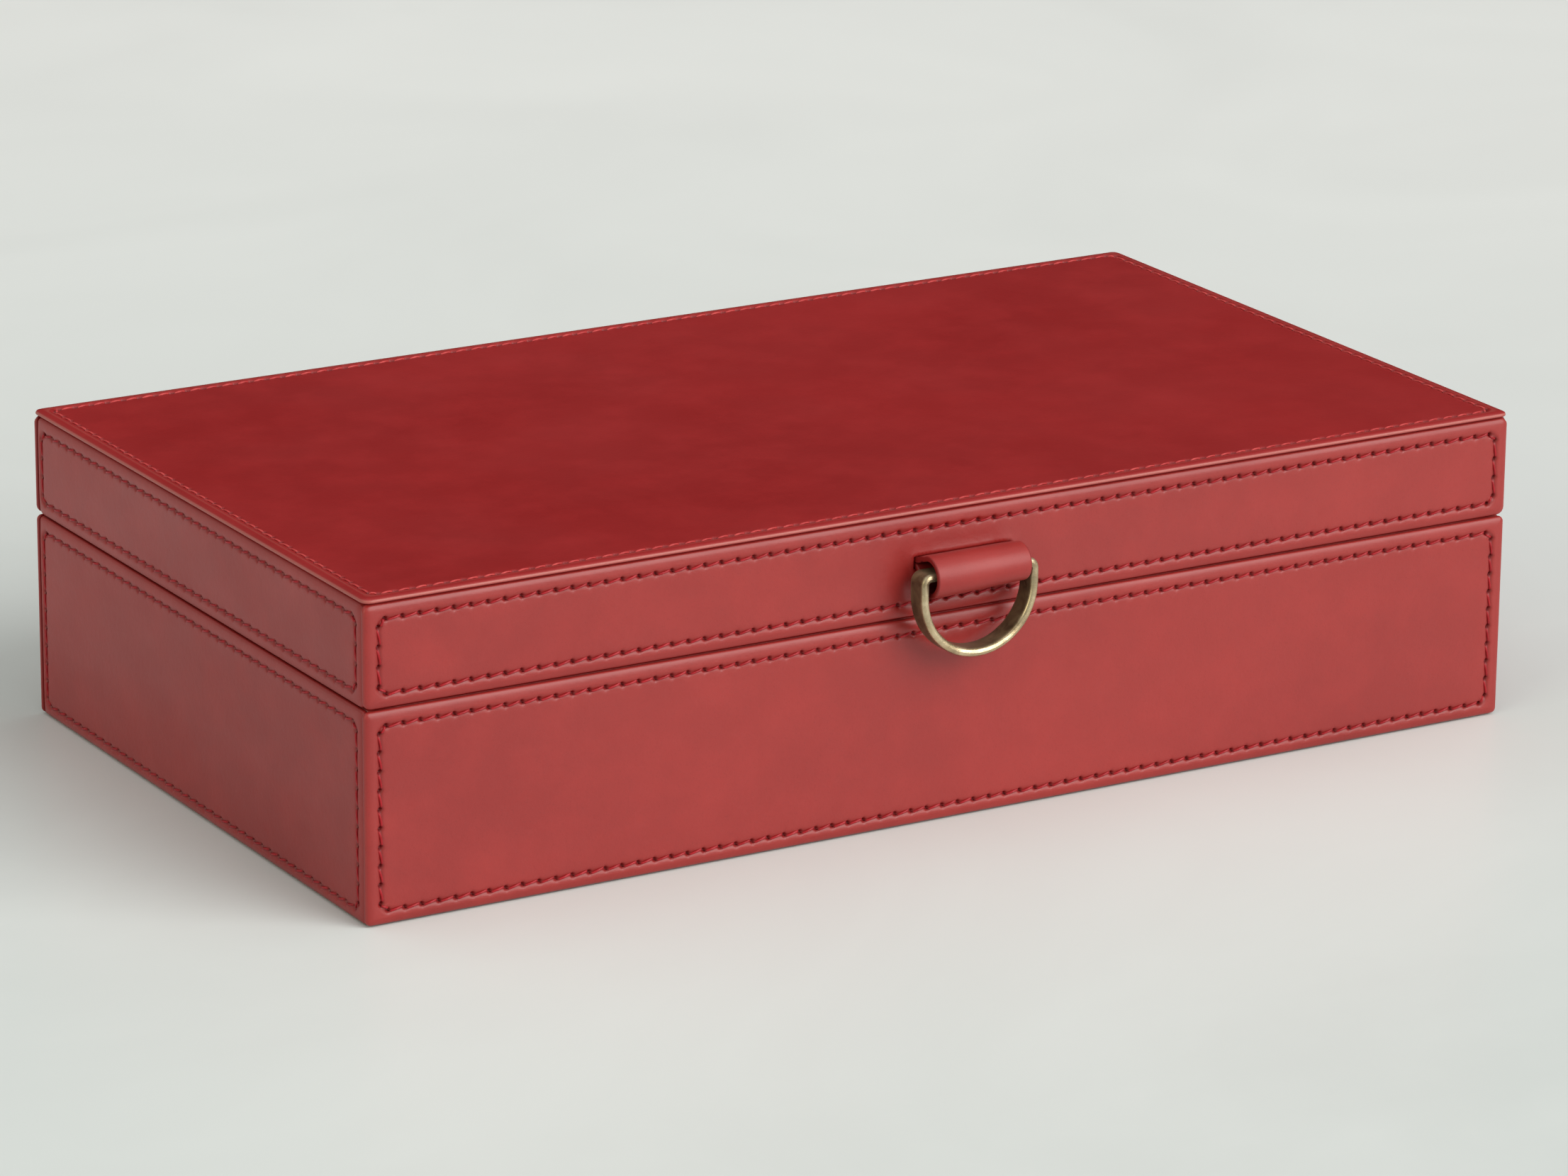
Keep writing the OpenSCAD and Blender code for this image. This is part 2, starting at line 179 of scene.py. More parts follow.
def leather(name, tint=(0.300, 0.0168, 0.0135), deep=(0.252, 0.0118, 0.0098), rough=(0.38, 0.47), edge=True, lip_hilite_color=None, lip_hilite_mix=0.5):
    m = NT(name)
    big = m.noise(9.0, 3.0, 0.5, dist=0.4)
    mid = m.noise(70.0, 4.0, 0.6)
    c = m.mix(m.maprange(big, 0.35, 0.68, 0.0, 1.0), deep, tint)
    light = tuple(min(1.0, v * 1.22 + 0.004) for v in tint)
    c = m.mix(m.maprange(mid, 0.42, 0.75, 0.0, 0.4), c, light)
    # dyed pores
    pores = m.voronoi(1500.0)
    c = m.mix(m.maprange(pores, 0.0, 0.32, 0.30, 0.0), c, tuple(v * 0.45 for v in deep))
    if edge:
        # painted shade: pits, stitch valleys, the walls and undersides of rolled edges, the slot and the inside of the
        # strap's loop are darkened here, and on the strap's cut edges the same mix gives their real dark edge dye; the
        # next mix paints a highlight along the lips of the rolled edges and the border strips
        c = m.mix(m.attr("shade"), c, (0.17, 0.0022, 0.0036))
        c = m.mix(m.maprange(m.attr("edge_highlight"), 0.0, 1.0, 0.0, lip_hilite_mix), c, lip_hilite_color or tuple(v * 1.15 + 0.010 for v in tint))
    m.color(c)
    streak = m.noise(26.0, 5.0, 0.6, vec=m.mapping((1, 1, 2.2)))
    m.rough(m.maprange(streak, 0.3, 0.7, rough[0], rough[1]))
    grain = m.math("ADD", m.math("MULTIPLY", m.voronoi(820.0, "SMOOTH_F1"), 0.55), m.math("MULTIPLY", m.noise(1900.0, 2.0, 0.5), 0.5))
    n1 = m.bump(grain, 0.00012, 0.32)
    m.normal(m.bump(m.noise(120.0, 3.0, 0.6), 0.0004, 0.16, n1))
    m.set(Specular_IOR_Level=0.5, Sheen_Weight=0.0, Coat_Weight=0.06, Coat_Roughness=0.3)
    return m.m


def thread_mat(name, a, b):
    m = NT(name)
    ply = m.noise(2600.0, 2.0, 0.5)
    v = m.noise(220.0, 2.0, 0.5)
    c = m.mix(m.maprange(v, 0.3, 0.7, 0.0, 1.0), a, b)
    c = m.mix(m.attr("shade"), c, (0.05, 0.001, 0.002))
    m.color(c)
    m.rough(m.maprange(ply, 0.3, 0.7, 0.34, 0.48))
    m.normal(m.bump(m.math("ADD", m.math("MULTIPLY", m.attr("ply"), 1.0), m.math("MULTIPLY", ply, 0.35)), 0.00012, 0.6))
    m.set(Specular_IOR_Level=0.3)
    return m.m


def suede(name, a, b, nap=1.0):
    m = NT(name)
    big = m.noise(28.0, 4.0, 0.6, dist=0.8)
    fine = m.noise(1500.0, 3.0, 0.7)
    c = m.mix(m.maprange(big, 0.36, 0.66, 0.0, 1.0), a, b)
    c = m.mix(m.maprange(fine, 0.35, 0.7, 0.0, 0.35), c, tuple(v * 1.4 for v in b))
    c = m.mix(m.maprange(m.attr("shade"), 0.0, 1.0, 0.0, 0.7), c, tuple(v * 0.35 for v in a))
    m.color(c)
    m.rough(m.maprange(fine, 0.3, 0.7, 0.82, 0.96))
    n1 = m.bump(fine, 0.0003, 0.5 * nap)
    m.normal(m.bump(m.noise(160.0, 3.0, 0.6), 0.0006, 0.3 * nap, n1))
    m.set(Sheen_Weight=0.45, Sheen_Roughness=0.45, Specular_IOR_Level=0.2)
    return m.m


def felt_mat():
    m = NT("pressed_felt")
    f = m.noise(900.0, 6.0, 0.75, dist=0.6)
    c = m.mix(m.maprange(f, 0.3, 0.7, 0.0, 1.0), (0.075, 0.026, 0.022), (0.16, 0.062, 0.052))
    m.color(c)
    m.rough(m.maprange(f, 0.3, 0.7, 0.9, 1.0))
    m.normal(m.bump(f, 0.0005, 0.7))
    m.set(Sheen_Weight=0.4, Sheen_Roughness=0.6, Specular_IOR_Level=0.15)
    return m.m


def board_mat():
    m = NT("pressed_fibre_board")
    f = m.noise(300.0, 6.0, 0.7, vec=m.mapping((1, 1, 3)))
    spots = m.voronoi(900.0)
    c = m.mix(m.maprange(f, 0.3, 0.7, 0.0, 1.0), (0.28, 0.20, 0.13), (0.46, 0.36, 0.25))
    c = m.mix(m.maprange(spots, 0.0, 0.2, 0.4, 0.0), c, (0.14, 0.10, 0.07))
    m.color(c)
    m.rough(m.maprange(f, 0.3, 0.7, 0.75, 0.92))
    m.normal(m.bump(f, 0.0003, 0.5))
    return m.m


def brass_mat(name, antique):
    m = NT(name)
    scr = m.noise(900.0, 4.0, 0.7, vec=m.mapping((1, 1, 6)))
    cloud = m.noise(260.0, 4.0, 0.6, dist=0.6)
    if antique:
        bright = m.mix(m.maprange(cloud, 0.3, 0.7, 0.0, 1.0), (0.45, 0.33, 0.175), (0.77, 0.635, 0.42))
        dark = m.mix(m.maprange(cloud, 0.35, 0.7, 0.0, 1.0), (0.080, 0.060, 0.034), (0.20, 0.158, 0.088))
        # the mask mixes real patina with painted shade on the rounded sides of the ring's faces
        c = m.mix(m.attr("patina_and_shade"), bright, dark)
        m.color(c)
        r = m.math("ADD", m.maprange(cloud, 0.3, 0.7, 0.17, 0.28), m.math("MULTIPLY", m.attr("patina_and_shade"), 0.10))
        m.rough(r)
    else:
        c = m.mix(m.maprange(cloud, 0.3, 0.7, 0.0, 1.0), (0.50, 0.40, 0.215), (0.62, 0.505, 0.290))
        m.color(c)
        m.rough(m.maprange(scr, 0.3, 0.7, 0.28, 0.40))
    m.normal(m.bump(scr, 0.00008, 0.35))
    if antique:
        # the oxide in the hollows is dull, the worn faces are bare metal; the same mask also holds the painted shade on
        # the rounded sides of the faces, which stays dull too
        m.link(m.maprange(m.attr("patina_and_shade"), 0.15, 0.95, 0.96, 0.35), m.bsdf.inputs["Metallic"])
    else:
        m.set(Metallic=1.0)
    return m.m


def mirror_mat():
    m = NT("silvered_mirror")
    f = m.noise(40.0, 2.0, 0.5)
    m.color(m.mix(m.maprange(f, 0.3, 0.7, 0.0, 1.0), (0.86, 0.88, 0.88), (0.90, 0.91, 0.91)))
    m.rough(m.maprange(m.noise(200.0, 3.0, 0.6), 0.3, 0.7, 0.015, 0.035))
    m.set(Metallic=1.0)
    return m.m


LEATHER = leather("red_leather")
# the top panel's copy of the leather, tinted apart from the sides for how the top is lit (painted light), with a
# painted highlight colour for the lip of its rolled edge
LIT_TOP_LEATHER = leather("red_top_leather_painted_light", tint=(0.322, 0.0160, 0.0165), deep=(0.272, 0.0112, 0.0118), rough=(0.39, 0.48), lip_hilite_color=(0.48, 0.165, 0.130), lip_hilite_mix=0.62)
TRIM_LEATHER = leather("red_trim_leather", edge=True)
STRAP_LEATHER = leather("red_strap_leather", tint=(0.300, 0.0155, 0.0125), deep=(0.245, 0.0105, 0.0090), rough=(0.45, 0.55))
THREAD = thread_mat("red_waxed_thread", (0.28, 0.004, 0.009), (0.37, 0.009, 0.016))
# a lighter, pinker copy of the thread for the top panel: painted sheen for the light the top catches
LIT_TOP_THREAD = thread_mat("red_top_thread_painted_sheen", (0.42, 0.035, 0.037), (0.53, 0.064, 0.062))
SUEDE = suede("tan_suede", (0.30, 0.205, 0.125), (0.40, 0.285, 0.18))
ROLL = suede("tan_roll_suede", (0.33, 0.225, 0.14), (0.44, 0.315, 0.20), nap=1.2)
FELT = felt_mat()
BOARD = board_mat()
BRASS = brass_mat("satin_brass", False)
ANTIQUE = brass_mat("antique_brass", True)
MIRROR = mirror_mat()


# -------------------------------------------------------------- mesh helpers
def piece(name, verts, faces, mat, body, nodes=(), attrs=None, flat=False):
    me = bpy.data.meshes.new(name)
    me.from_pydata([(v[0] * MM, v[1] * MM, v[2] * MM) for v in verts], [], faces)
    me.update()
    if attrs:
        for k, vals in attrs.items():
            a = me.attributes.new(k, "FLOAT", "POINT")
            a.data.foreach_set("value", vals)
    bm = bmesh.new()
    bm.from_mesh(me)
    bmesh.ops.recalc_face_normals(bm, faces=bm.faces)
    bm.to_mesh(me)
    bm.free()
    if not flat:
        me.shade_smooth()
    ob = bpy.data.objects.new(name, me)
    COLL.objects.link(ob)
    me.materials.append(mat)
    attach(ob, body)
    if nodes:
        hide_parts(*nodes)
    return ob


def zip_loops(faces, ia, pa, ib, pb, period):
    """Join two closed loops of vertex indices whose positions are pa and pb on one ring."""
    if len(pa) == len(pb) and all(abs(a - b) < 1e-9 for a, b in zip(pa, pb)):
        n = len(pa)
        for i in range(n):
            j = (i + 1) % n
            faces.append((ia[i], ia[j], ib[j], ib[i]))
        return
    na, nb_ = len(pa), len(pb)
    i = j = 0
    while i < na or j < nb_:
        ta = (pa[i + 1] if i + 1 < na else pa[0] + period) if i < na else 1e9
        tb = (pb[j + 1] if j + 1 < nb_ else pb[0] + period) if j < nb_ else 1e9
        if ta <= tb:
            faces.append((ia[i % na], ia[(i + 1) % na], ib[j % nb_]))
            i += 1
        else:
            faces.append((ia[i % na], ib[(j + 1) % nb_], ib[j % nb_]))
            j += 1


def rr_point(W, H, ins, r, k, f):
    """Point of a rounded rectangle: segment k of 8 (side, arc, side ...), fraction f."""
    l, rt, b, t = ins
    x0, x1, y0, y1 = l, W - rt, b, H - t
    r = max(0.02, min(r, (x1 - x0) / 2 - 0.01, (y1 - y0) / 2 - 0.01))
    if k == 0:
        return (x0 + r + (x1 - x0 - 2 * r) * f, y0)
    if k == 2:
        return (x1, y0 + r + (y1 - y0 - 2 * r) * f)
    if k == 4:
        return (x1 - r - (x1 - x0 - 2 * r) * f, y1)
    if k == 6:
        return (x0, y1 - r - (y1 - y0 - 2 * r) * f)
    c = {1: (x1 - r, y0 + r, -90), 3: (x1 - r, y1 - r, 0), 5: (x0 + r, y1 - r, 90), 7: (x0 + r, y0 + r, 180)}[k]
    a = math.radians(c[2] + 90 * f)
    return (c[0] + r * math.cos(a), c[1] + r * math.sin(a))


PITCH = 4.2
RS = 1.7
COLS10 = (0.0, 0.055, 0.115, 0.19, 0.31, 0.5, 0.69, 0.81, 0.885, 0.945)
COLS4 = (0.0, 0.25, 0.5, 0.75)
COLS1 = (0.0,)
# edge rows: inset and height from the outer plane
EDGE = ((0.5, -1.0), (0.15, -0.985), (0.02, -0.88), (0.0, -0.74), (0.03, -0.56), (0.13, -0.395), (0.34, -0.275), (0.68, -0.175), (1.1, -0.10), (1.55, -0.055))
# stitch rows: offset from the stitch line and height of the valley there
VALLEY = ((-1.4, -0.045), (-1.0, -0.07), (-0.7, -0.13), (-0.45, -0.23), (-0.22, -0.32), (0.0, -0.35),
          (0.22, -0.33), (0.45, -0.265), (0.7, -0.20), (1.05, -0.165), (1.55, -0.15))



def stitched_panel(name, body, node, W, H, thick, place, ins, mat, seed, warp=None, hole=None, lip=0.0, rc=1.3):
    """One leather panel with rolled edges and a stitched border, and its thread.
    place(u, v, h) turns panel coordinates (mm) into the case's frame."""
    rnd = random.Random(seed)
    ofs = Vector((seed * 13.1, seed * 7.7, seed * 3.3))
    il, ir, ib, it = ins
    segs = []
    lens = [W - il - ir - 2 * RS, math.pi / 2 * RS, H - ib - it - 2 * RS, math.pi / 2 * RS] * 2
    for k in range(8):
        n = 1 if k % 2 else max(1, round(lens[k] / PITCH))
        for s in range(n):
            segs.append((k, s / n, (s + 1) / n, lens[k] / n))
    ns = len(segs)
    verts, faces, shade, edge_hilites = [], [], [], []

    def emit(u, v, h, sh=0.0, hilite=0.0):
        if warp:
            u, v, h = warp(u, v, h)
        verts.append(place(u, v, h))
        shade.append(sh)
        edge_hilites.append(hilite)
        return len(verts) - 1

    def wave(u, v):
        p = Vector((u / 55.0, v / 55.0, 0)) + ofs
        return 0.07 * noise.noise(p)

    def ring(insets, r, cols, hfun):
        idx, par = [], []
        for si, (k, f0, f1, ln) in enumerate(segs):
            for c in cols:
                f = f0 + c * (f1 - f0)
                u, v = rr_point(W, H, insets, r, k, f)
                h, sh, hilite = hfun(u, v, si, c, ln)
                idx.append(emit(u, v, h, sh, hilite))
                par.append(k + f)
        return idx, par

    loops = []
    # the rolled edge, from the back to the border
    for d, z in EDGE:
        if d > min(ins) - 1.6:
            break
        hz = z * thick
        # painted highlight on the lip of the rolled edge; painted shade on its wall and underside
        hilite = 0.7 if -0.8 < z < -0.3 else 0.0
        sh = 0.55 if z < -0.9 else (0.25 if z < -0.7 else 0.0)
        loops.append(ring((d, d, d, d), max(0.4, rc - d), COLS4,
                          lambda u, v, si, c, ln, hz=hz, sh=sh, hilite=hilite: (hz, sh, hilite)))
    back = loops[0]
    # the stitched valley with its holes
    jit = [rnd.uniform(-0.12, 0.12) for _ in range(ns)]
    for off, z in VALLEY:
        def hf(u, v, si, c, ln, off=off, z=z):
            nxt = segs[(si + 1) % ns][3]
            at = c * ln if c < 0.5 else (c - 1) * ln
            hi = si if c < 0.5 else (si + 1) % ns
            o = off + jit[hi] * 0.4
            a = at * 0.66 - o * 0.75
            b = at * 0.75 + o * 0.66
            pit = math.exp(-abs(a / 0.54) ** 3 - (b / 0.38) ** 2)
            # the thread presses the valley down at the ends of a stitch and lets it rise in the middle
            puck = 0.04 * math.cos(2 * math.pi * c) * math.exp(-(off / 1.0) ** 2)
            h = z - puck - 0.95 * pit + wave(u, v) * smooth(-1.5, 1.5, off)
            valley = max(0.0, min(1.0, (-z - 0.15) / 0.2))
            # painted shade: the stitch valleys are darkened, the upright rows most and the top panel least; the border
            # strip outside the stitches gets a painted highlight
            valley_shade = 0.30 if mat is LIT_TOP_LEATHER or segs[si][0] in (0, 4) else (0.58 if segs[si][0] in (2, 6) else 0.44)
            return h, min(1.0, 1.15 * pit + valley_shade * valley), 0.35 if off < -1.0 else 0.0
        loops.append(ring(tuple(i + off for i in ins), max(0.15, RS - off), COLS10, hf))
    loops.append(ring(tuple(i + 2.3 for i in ins), 0.3, COLS4, lambda u, v, si, c, ln: (-0.145 + wave(u, v), 0.0, 0.0)))
    inner = ring(tuple(i + 3.2 for i in ins), 0.3, COLS1, lambda u, v, si, c, ln: (-0.145 + wave(u, v), 0.0, 0.0))
    loops.append(inner)
    for a, b in zip(loops, loops[1:]):
        zip_loops(faces, a[0], a[1], b[0], b[1], 8.0)

    # the free middle
    pts, fixed = [], []
    for i, (k, f0, f1, ln) in enumerate(segs):
        pts.append(rr_point(W, H, tuple(i2 + 3.2 for i2 in ins), 0.3, k, f0))
        fixed.append(inner[0][i])
    edges = [(i, (i + 1) % ns) for i in range(ns)]
    x0, x1, y0, y1 = il + 3.2, W - ir - 3.2, ib + 3.2, H - it - 3.2
    step = 6.0
    nx, ny = max(1, round((x1 - x0) / step)), max(1, round((y1 - y0) / step))
    hole_poly = []
    extra = []
    if hole:
        hx0, hx1, hy0, hy1 = hole
        for g, n1, n2 in ((0.0, 26, 4), (0.3, 26, 4), (0.7, 26, 4), (1.2, 26, 4)):
            a, b, c, d = hx0 - g, hx1 + g, hy0 - g, hy1 + g
            loop = [(a + (b - a) * i / n1, c) for i in range(n1)] + [(b, c + (d - c) * i / n2) for i in range(n2)] + \
                   [(b - (b - a) * i / n1, d) for i in range(n1)] + [(a, d - (d - c) * i / n2) for i in range(n2)]
            if g == 0.0:
                base_i = len(pts)
                edges += [(base_i + i, base_i + (i + 1) % len(loop)) for i in range(len(loop))]
                hole_poly = loop
                pts += loop
                fixed += [None] * len(loop)
            else:
                extra += loop
    for i in range(1, nx):
        for j in range(1, ny):
            p = (x0 + (x1 - x0) * i / nx, y0 + (y1 - y0) * j / ny)
            if hole and hole[0] - 1.9 < p[0] < hole[1] + 1.9 and hole[2] - 1.9 < p[1] < hole[3] + 1.9:
                continue
            extra.append(p)
    pts += extra
    fixed += [None] * len(extra)
    out_v, _, out_f, ov, _, _ = delaunay_2d_cdt([Vector(p) for p in pts], edges, [], 0, 1e-5)
    index = []
    for vi, p in enumerate(out_v):
        src = [fixed[o] for o in ov[vi] if fixed[o] is not None]
        if src:
            index.append(src[0])
            continue
        h = -0.145 + wave(p.x, p.y)
        sh = 0.0
        if hole:
            dx = max(hole[0] - p.x, 0, p.x - hole[1])
            dy = max(hole[2] - p.y, 0, p.y - hole[3])
            d = math.hypot(dx, dy)
            h += lip * (math.exp(-((d - 0.6) / 0.55) ** 2)) - 0.25 * math.exp(-(d / 0.25) ** 2)
            # painted shade in a thin line round the rim of the slot
            sh = 0.8 * math.exp(-(d / 0.25) ** 2)
        index.append(emit(p.x, p.y, h, sh, 0.0))
    cx = {}
    for f in out_f:
        mx = sum(out_v[i].x for i in f) / len(f)
        my = sum(out_v[i].y for i in f) / len(f)
        if hole and hole[0] < mx < hole[1] and hole[2] < my < hole[3]:
            continue
        faces.append(tuple(index[i] for i in f))
    back_extra = []
    if hole:
        # walls of the slot, through to the back, painted fully in shade
        ring_i = []
        for q, p in enumerate(hole_poly):
            for vi in range(len(out_v)):
                if abs(out_v[vi].x - p[0]) < 1e-4 and abs(out_v[vi].y - p[1]) < 1e-4:
                    ring_i.append(index[vi])
                    break
        low = [emit(p[0], p[1], -thick, 1.0, 0.0) for p in hole_poly]
        n = len(hole_poly)
        for i in range(n):
            j = (i + 1) % n
            faces.append((ring_i[i], low[i], low[j], ring_i[j]))
        back_extra = list(zip(hole_poly, low))
    # the back
    bp, bfix = [], []
    par0 = back[1]
    ci = 0
    for si, (k, f0, f1, ln) in enumerate(segs):
        for c in COLS4:
            d = EDGE[0][0]
            bp.append(rr_point(W, H, (d, d, d, d), max(0.4, rc - d), k, f0 + c * (f1 - f0)))
            bfix.append(back[0][ci])
            ci += 1
    nb0 = len(bp)
    be = [(i, (i + 1) % nb0) for i in range(nb0)]
    for p, i in back_extra:
        bp.append(p)
        bfix.append(i)
    if back_extra:
        be += [(nb0 + i, nb0 + (i + 1) % len(back_extra)) for i in range(len(back_extra))]
    out_v, _, out_f, ov, _, _ = delaunay_2d_cdt([Vector(p) for p in bp], be, [], 1, 1e-6)
    for f in out_f:
        mx = sum(out_v[i].x for i in f) / len(f)
        my = sum(out_v[i].y for i in f) / len(f)
        if hole and hole[0] < mx < hole[1] and hole[2] < my < hole[3]:
            continue
        faces.append(tuple(bfix[ov[i][0]] for i in reversed(f)))
    ob = piece(name, verts, faces, mat, body, (node,), {"shade": shade, "edge_highlight": edge_hilites})

    # the thread: one slanted stitch over each step
    tv, tf, tsh, tply = [], [], [], []
    NSEC, NSIDE = 9, 8
    prof = ((0.0, -0.90, 0.62), (0.06, -0.60, 0.85), (0.14, -0.32, 1.0), (0.32, -0.20, 1.04), (0.5, -0.18, 1.06),
            (0.68, -0.20, 1.04), (0.86, -0.32, 1.0), (0.94, -0.60, 0.85), (1.0, -0.90, 0.62))
    for si, (k, f0, f1, ln) in enumerate(segs):
        p0 = Vector(rr_point(W, H, ins, RS, k, f0))
        p1 = Vector(rr_point(W, H, ins, RS, k, f1))
        t = (p1 - p0)
        L = t.length
        t.normalize()
        n = Vector((-t.y, t.x))
        w = 0.46 * min(1.0, L / 3.2) + rnd.uniform(-0.06, 0.06)
        q0 = p0 + t * 0.22 - n * (w + jit[si] * 0.4)
        q1 = p1 - t * 0.22 + n * (w - jit[(si + 1) % ns] * 0.4)
        d = (q1 - q0)
        dl = d.length
        d.normalize()
        m = Vector((-d.y, d.x))
        rad = 0.262 + rnd.uniform(-0.02, 0.02)
        base = len(tv)
        for (w_, h_, r_) in prof:
            c = q0 + d * (dl * w_)
            bow = 0.05 * math.sin(math.pi * w_)
            c = c + m * bow
            slope = 0.0
            for s in range(NSIDE):
                a = 2 * math.pi * s / NSIDE
                uu = c + m * (rad * r_ * math.cos(a))
                hh = h_ + rad * r_ * 0.88 * math.sin(a)
                if warp:
                    pu, pv, ph = warp(uu.x, uu.y, hh)
                else:
                    pu, pv, ph = uu.x, uu.y, hh
                tv.append(place(pu, pv, ph))
                tsh.append(max(0.0, min(1.0, (-h_ - 0.36) / 0.4)))
                tply.append(0.5 + 0.5 * math.sin(a * 2 + w_ * dl * 5.5))
        for s in range(NSEC - 1):
            for q in range(NSIDE):
                a = base + s * NSIDE + q
                b = base + s * NSIDE + (q + 1) % NSIDE
                tf.append((a, b, b + NSIDE, a + NSIDE))
        tf.append(tuple(base + q for q in reversed(range(NSIDE))))
        tf.append(tuple(base + (NSEC - 1) * NSIDE + q for q in range(NSIDE)))
    th = piece(name.replace("_leather", "") + "_stitching", tv, tf, LIT_TOP_THREAD if mat is LIT_TOP_LEATHER else THREAD, body, (), {"shade": tsh, "ply": tply})
    return ob


def soft_box(name, lo, hi, mat, body, nodes, r=0.5, step=6.0, puff=0.0, faces_puffed=(), wav=0.05, seed=1,
             shape=None):
    """A covered board or pad: a rounded block whose broad faces swell a little."""
    size = [hi[i] - lo[i] for i in range(3)]
    r = min(r, min(size) * 0.49)

    def ticks(a, b):
        L = b - a
        inner = [a, a + r * 0.12, a + r * 0.35, a + r * 0.65, a + r]
        if L > 2 * r + 1.0:
            n = max(1, int(round((L - 2 * r) / step)))
            mid = [a + r + (L - 2 * r) * i / n for i in range(1, n)]
        else:
            mid = []
        return inner + mid + [b - r, b - r * 0.65, b - r * 0.35, b - r * 0.12, b]

    T = [ticks(lo[i], hi[i]) for i in range(3)]
    verts, faces, keys = [], [], {}

    def vid(p):
        k = (round(p[0], 4), round(p[1], 4), round(p[2], 4))
        if k not in keys:
            keys[k] = len(verts)
            verts.append(list(p))
        return keys[k]

    for ax in range(3):
        b_, c_ = (ax + 1) % 3, (ax + 2) % 3
        for side, val in ((0, lo[ax]), (1, hi[ax])):
            for i in range(len(T[b_]) - 1):
                for j in range(len(T[c_]) - 1):
                    q = []
                    for (di, dj) in ((0, 0), (1, 0), (1, 1), (0, 1)):
                        p = [0, 0, 0]
                        p[ax] = val
                        p[b_] = T[b_][i + di]
                        p[c_] = T[c_][j + dj]
                        q.append(vid(p))
                    faces.append(tuple(q) if side else tuple(reversed(q)))
    ofs = Vector((seed * 5.3, seed * 2.9, seed * 8.1))
    shade = []
    new = []
    for p in verts:
        q = [max(lo[i] + r, min(hi[i] - r, p[i])) for i in range(3)]
        d = [p[i] - q[i] for i in range(3)]
        L = math.sqrt(sum(x * x for x in d))
        if L > 1e-9:
            s = r / L
            o = [q[i] + d[i] * s for i in range(3)]
        else:
            o = list(p)
        for (ax, side) in faces_puffed:
            val = hi[ax] if side > 0 else lo[ax]
            if abs(p[ax] - val) < 1e-6:
                b_, c_ = (ax + 1) % 3, (ax + 2) % 3
                e = min(p[b_] - lo[b_], hi[b_] - p[b_], p[c_] - lo[c_], hi[c_] - p[c_])
                k = 1 - math.exp(-e / 3.0)
                n_ = noise.noise(Vector(p) / 22.0 + ofs)
                # broad faces are drawn in at the edges so that the middle stays on the plane
                o[ax] += side * (-puff * (1 - k) + wav * (n_ - 1.0) * k)
        if shape:
            o = shape(o, p)
        e3 = sorted(min(p[i] - lo[i], hi[i] - p[i]) for i in range(3))
        shade.append(0.0)
        new.append(o)
    ob = piece(name, new, faces, mat, body, nodes, {"shade": shade})
    return ob


def ring_sweep(name, half, profile, mat, body, nodes, ticks_x=(), ticks_y=(), fix=None, attrs_fn=None, rc=0.6):
    """A closed rectangular frame: profile is a closed list of (inset_x, inset_y, z)."""
    hx, hy = half
    N = len(profile)
    stations = []

    def side(a, b, n):
        return [a + (b - a) * i / n for i in range(1, n)]

    # no station falls in the corners, where the mitre runs
    kx = 1 - (max(q[0] for q in profile) + 0.5) / hx
    ky = 1 - (max(q[1] for q in profile) + 0.5) / hy
    xs = sorted(v for v in set([round(v, 4) for v in side(-1, 1, 40)] + [-kx, kx] + [t for t in ticks_x]) if abs(v) <= kx)
    ys = sorted(v for v in set([round(v, 4) for v in side(-1, 1, 24)] + [-ky, ky] + [t for t in ticks_y]) if abs(v) <= ky)
    # stations are (sx, sy) on the unit square, walked counter-clockwise
    st = [(-1, -1)] + [(x, -1) for x in xs] + [(1, -1)] + [(1, y) for y in ys] + [(1, 1)] + \
         [(x, 1) for x in reversed(xs)] + [(-1, 1)] + [(-1, y) for y in reversed(ys)]
    verts, faces = [], []
    for (sx, sy) in st:
        for (dx, dy, z) in profile:
            x = sx * (hx - dx) if abs(sx) == 1 else max(-(hx - dx), min(hx - dx, sx * hx))
            y = sy * (hy - dy) if abs(sy) == 1 else max(-(hy - dy), min(hy - dy, sy * hy))
            p = [x, y, z]
            if fix:
                p = fix(p, sx, sy)
            verts.append(p)
    M = len(st)
    for i in range(M):
        j = (i + 1) % M
        for k in range(N):
            l = (k + 1) % N
            faces.append((i * N + k, j * N + k, j * N + l, i * N + l))
    return piece(name, verts, faces, mat, body, nodes, {"shade": [0.0] * len(verts), "edge_highlight": [0.0] * len(verts)})


# ------------------------------------------------------------------- panels
def place_front(y, x0, z0):
    return lambda u, v, h: (x0 + u, y - h, z0 + v)


def place_back(y, x1, z0):
    return lambda u, v, h: (x1 - u, y + h, z0 + v)


def place_left(x, y1, z0):
    return lambda u, v, h: (x - h, y1 - u, z0 + v)


def place_right(x, y0, z0):
    return lambda u, v, h: (x + h, y0 + u, z0 + v)


def place_top(z, x0, y0):
    return lambda u, v, h: (x0 + u, y0 + v, z + h)


leaf_lo, leaf_hi = nb("left_hinge_base_leaf")
leaf2_lo, leaf2_hi = nb("right_hinge_base_leaf")
HINGES = [((leaf_lo[0] + leaf_hi[0]) / 2, (leaf_hi[0] - leaf_lo[0]) / 2 + 0.25),
          ((leaf2_lo[0] + leaf2_hi[0]) / 2, (leaf2_hi[0] - leaf2_lo[0]) / 2 + 0.25)]


def hinge_dip(x):
    k = 0.0
    for hx, hw in HINGES:
        k = max(k, 1 - smooth(hw, hw + 1.0, abs(x - hx)))
    return k


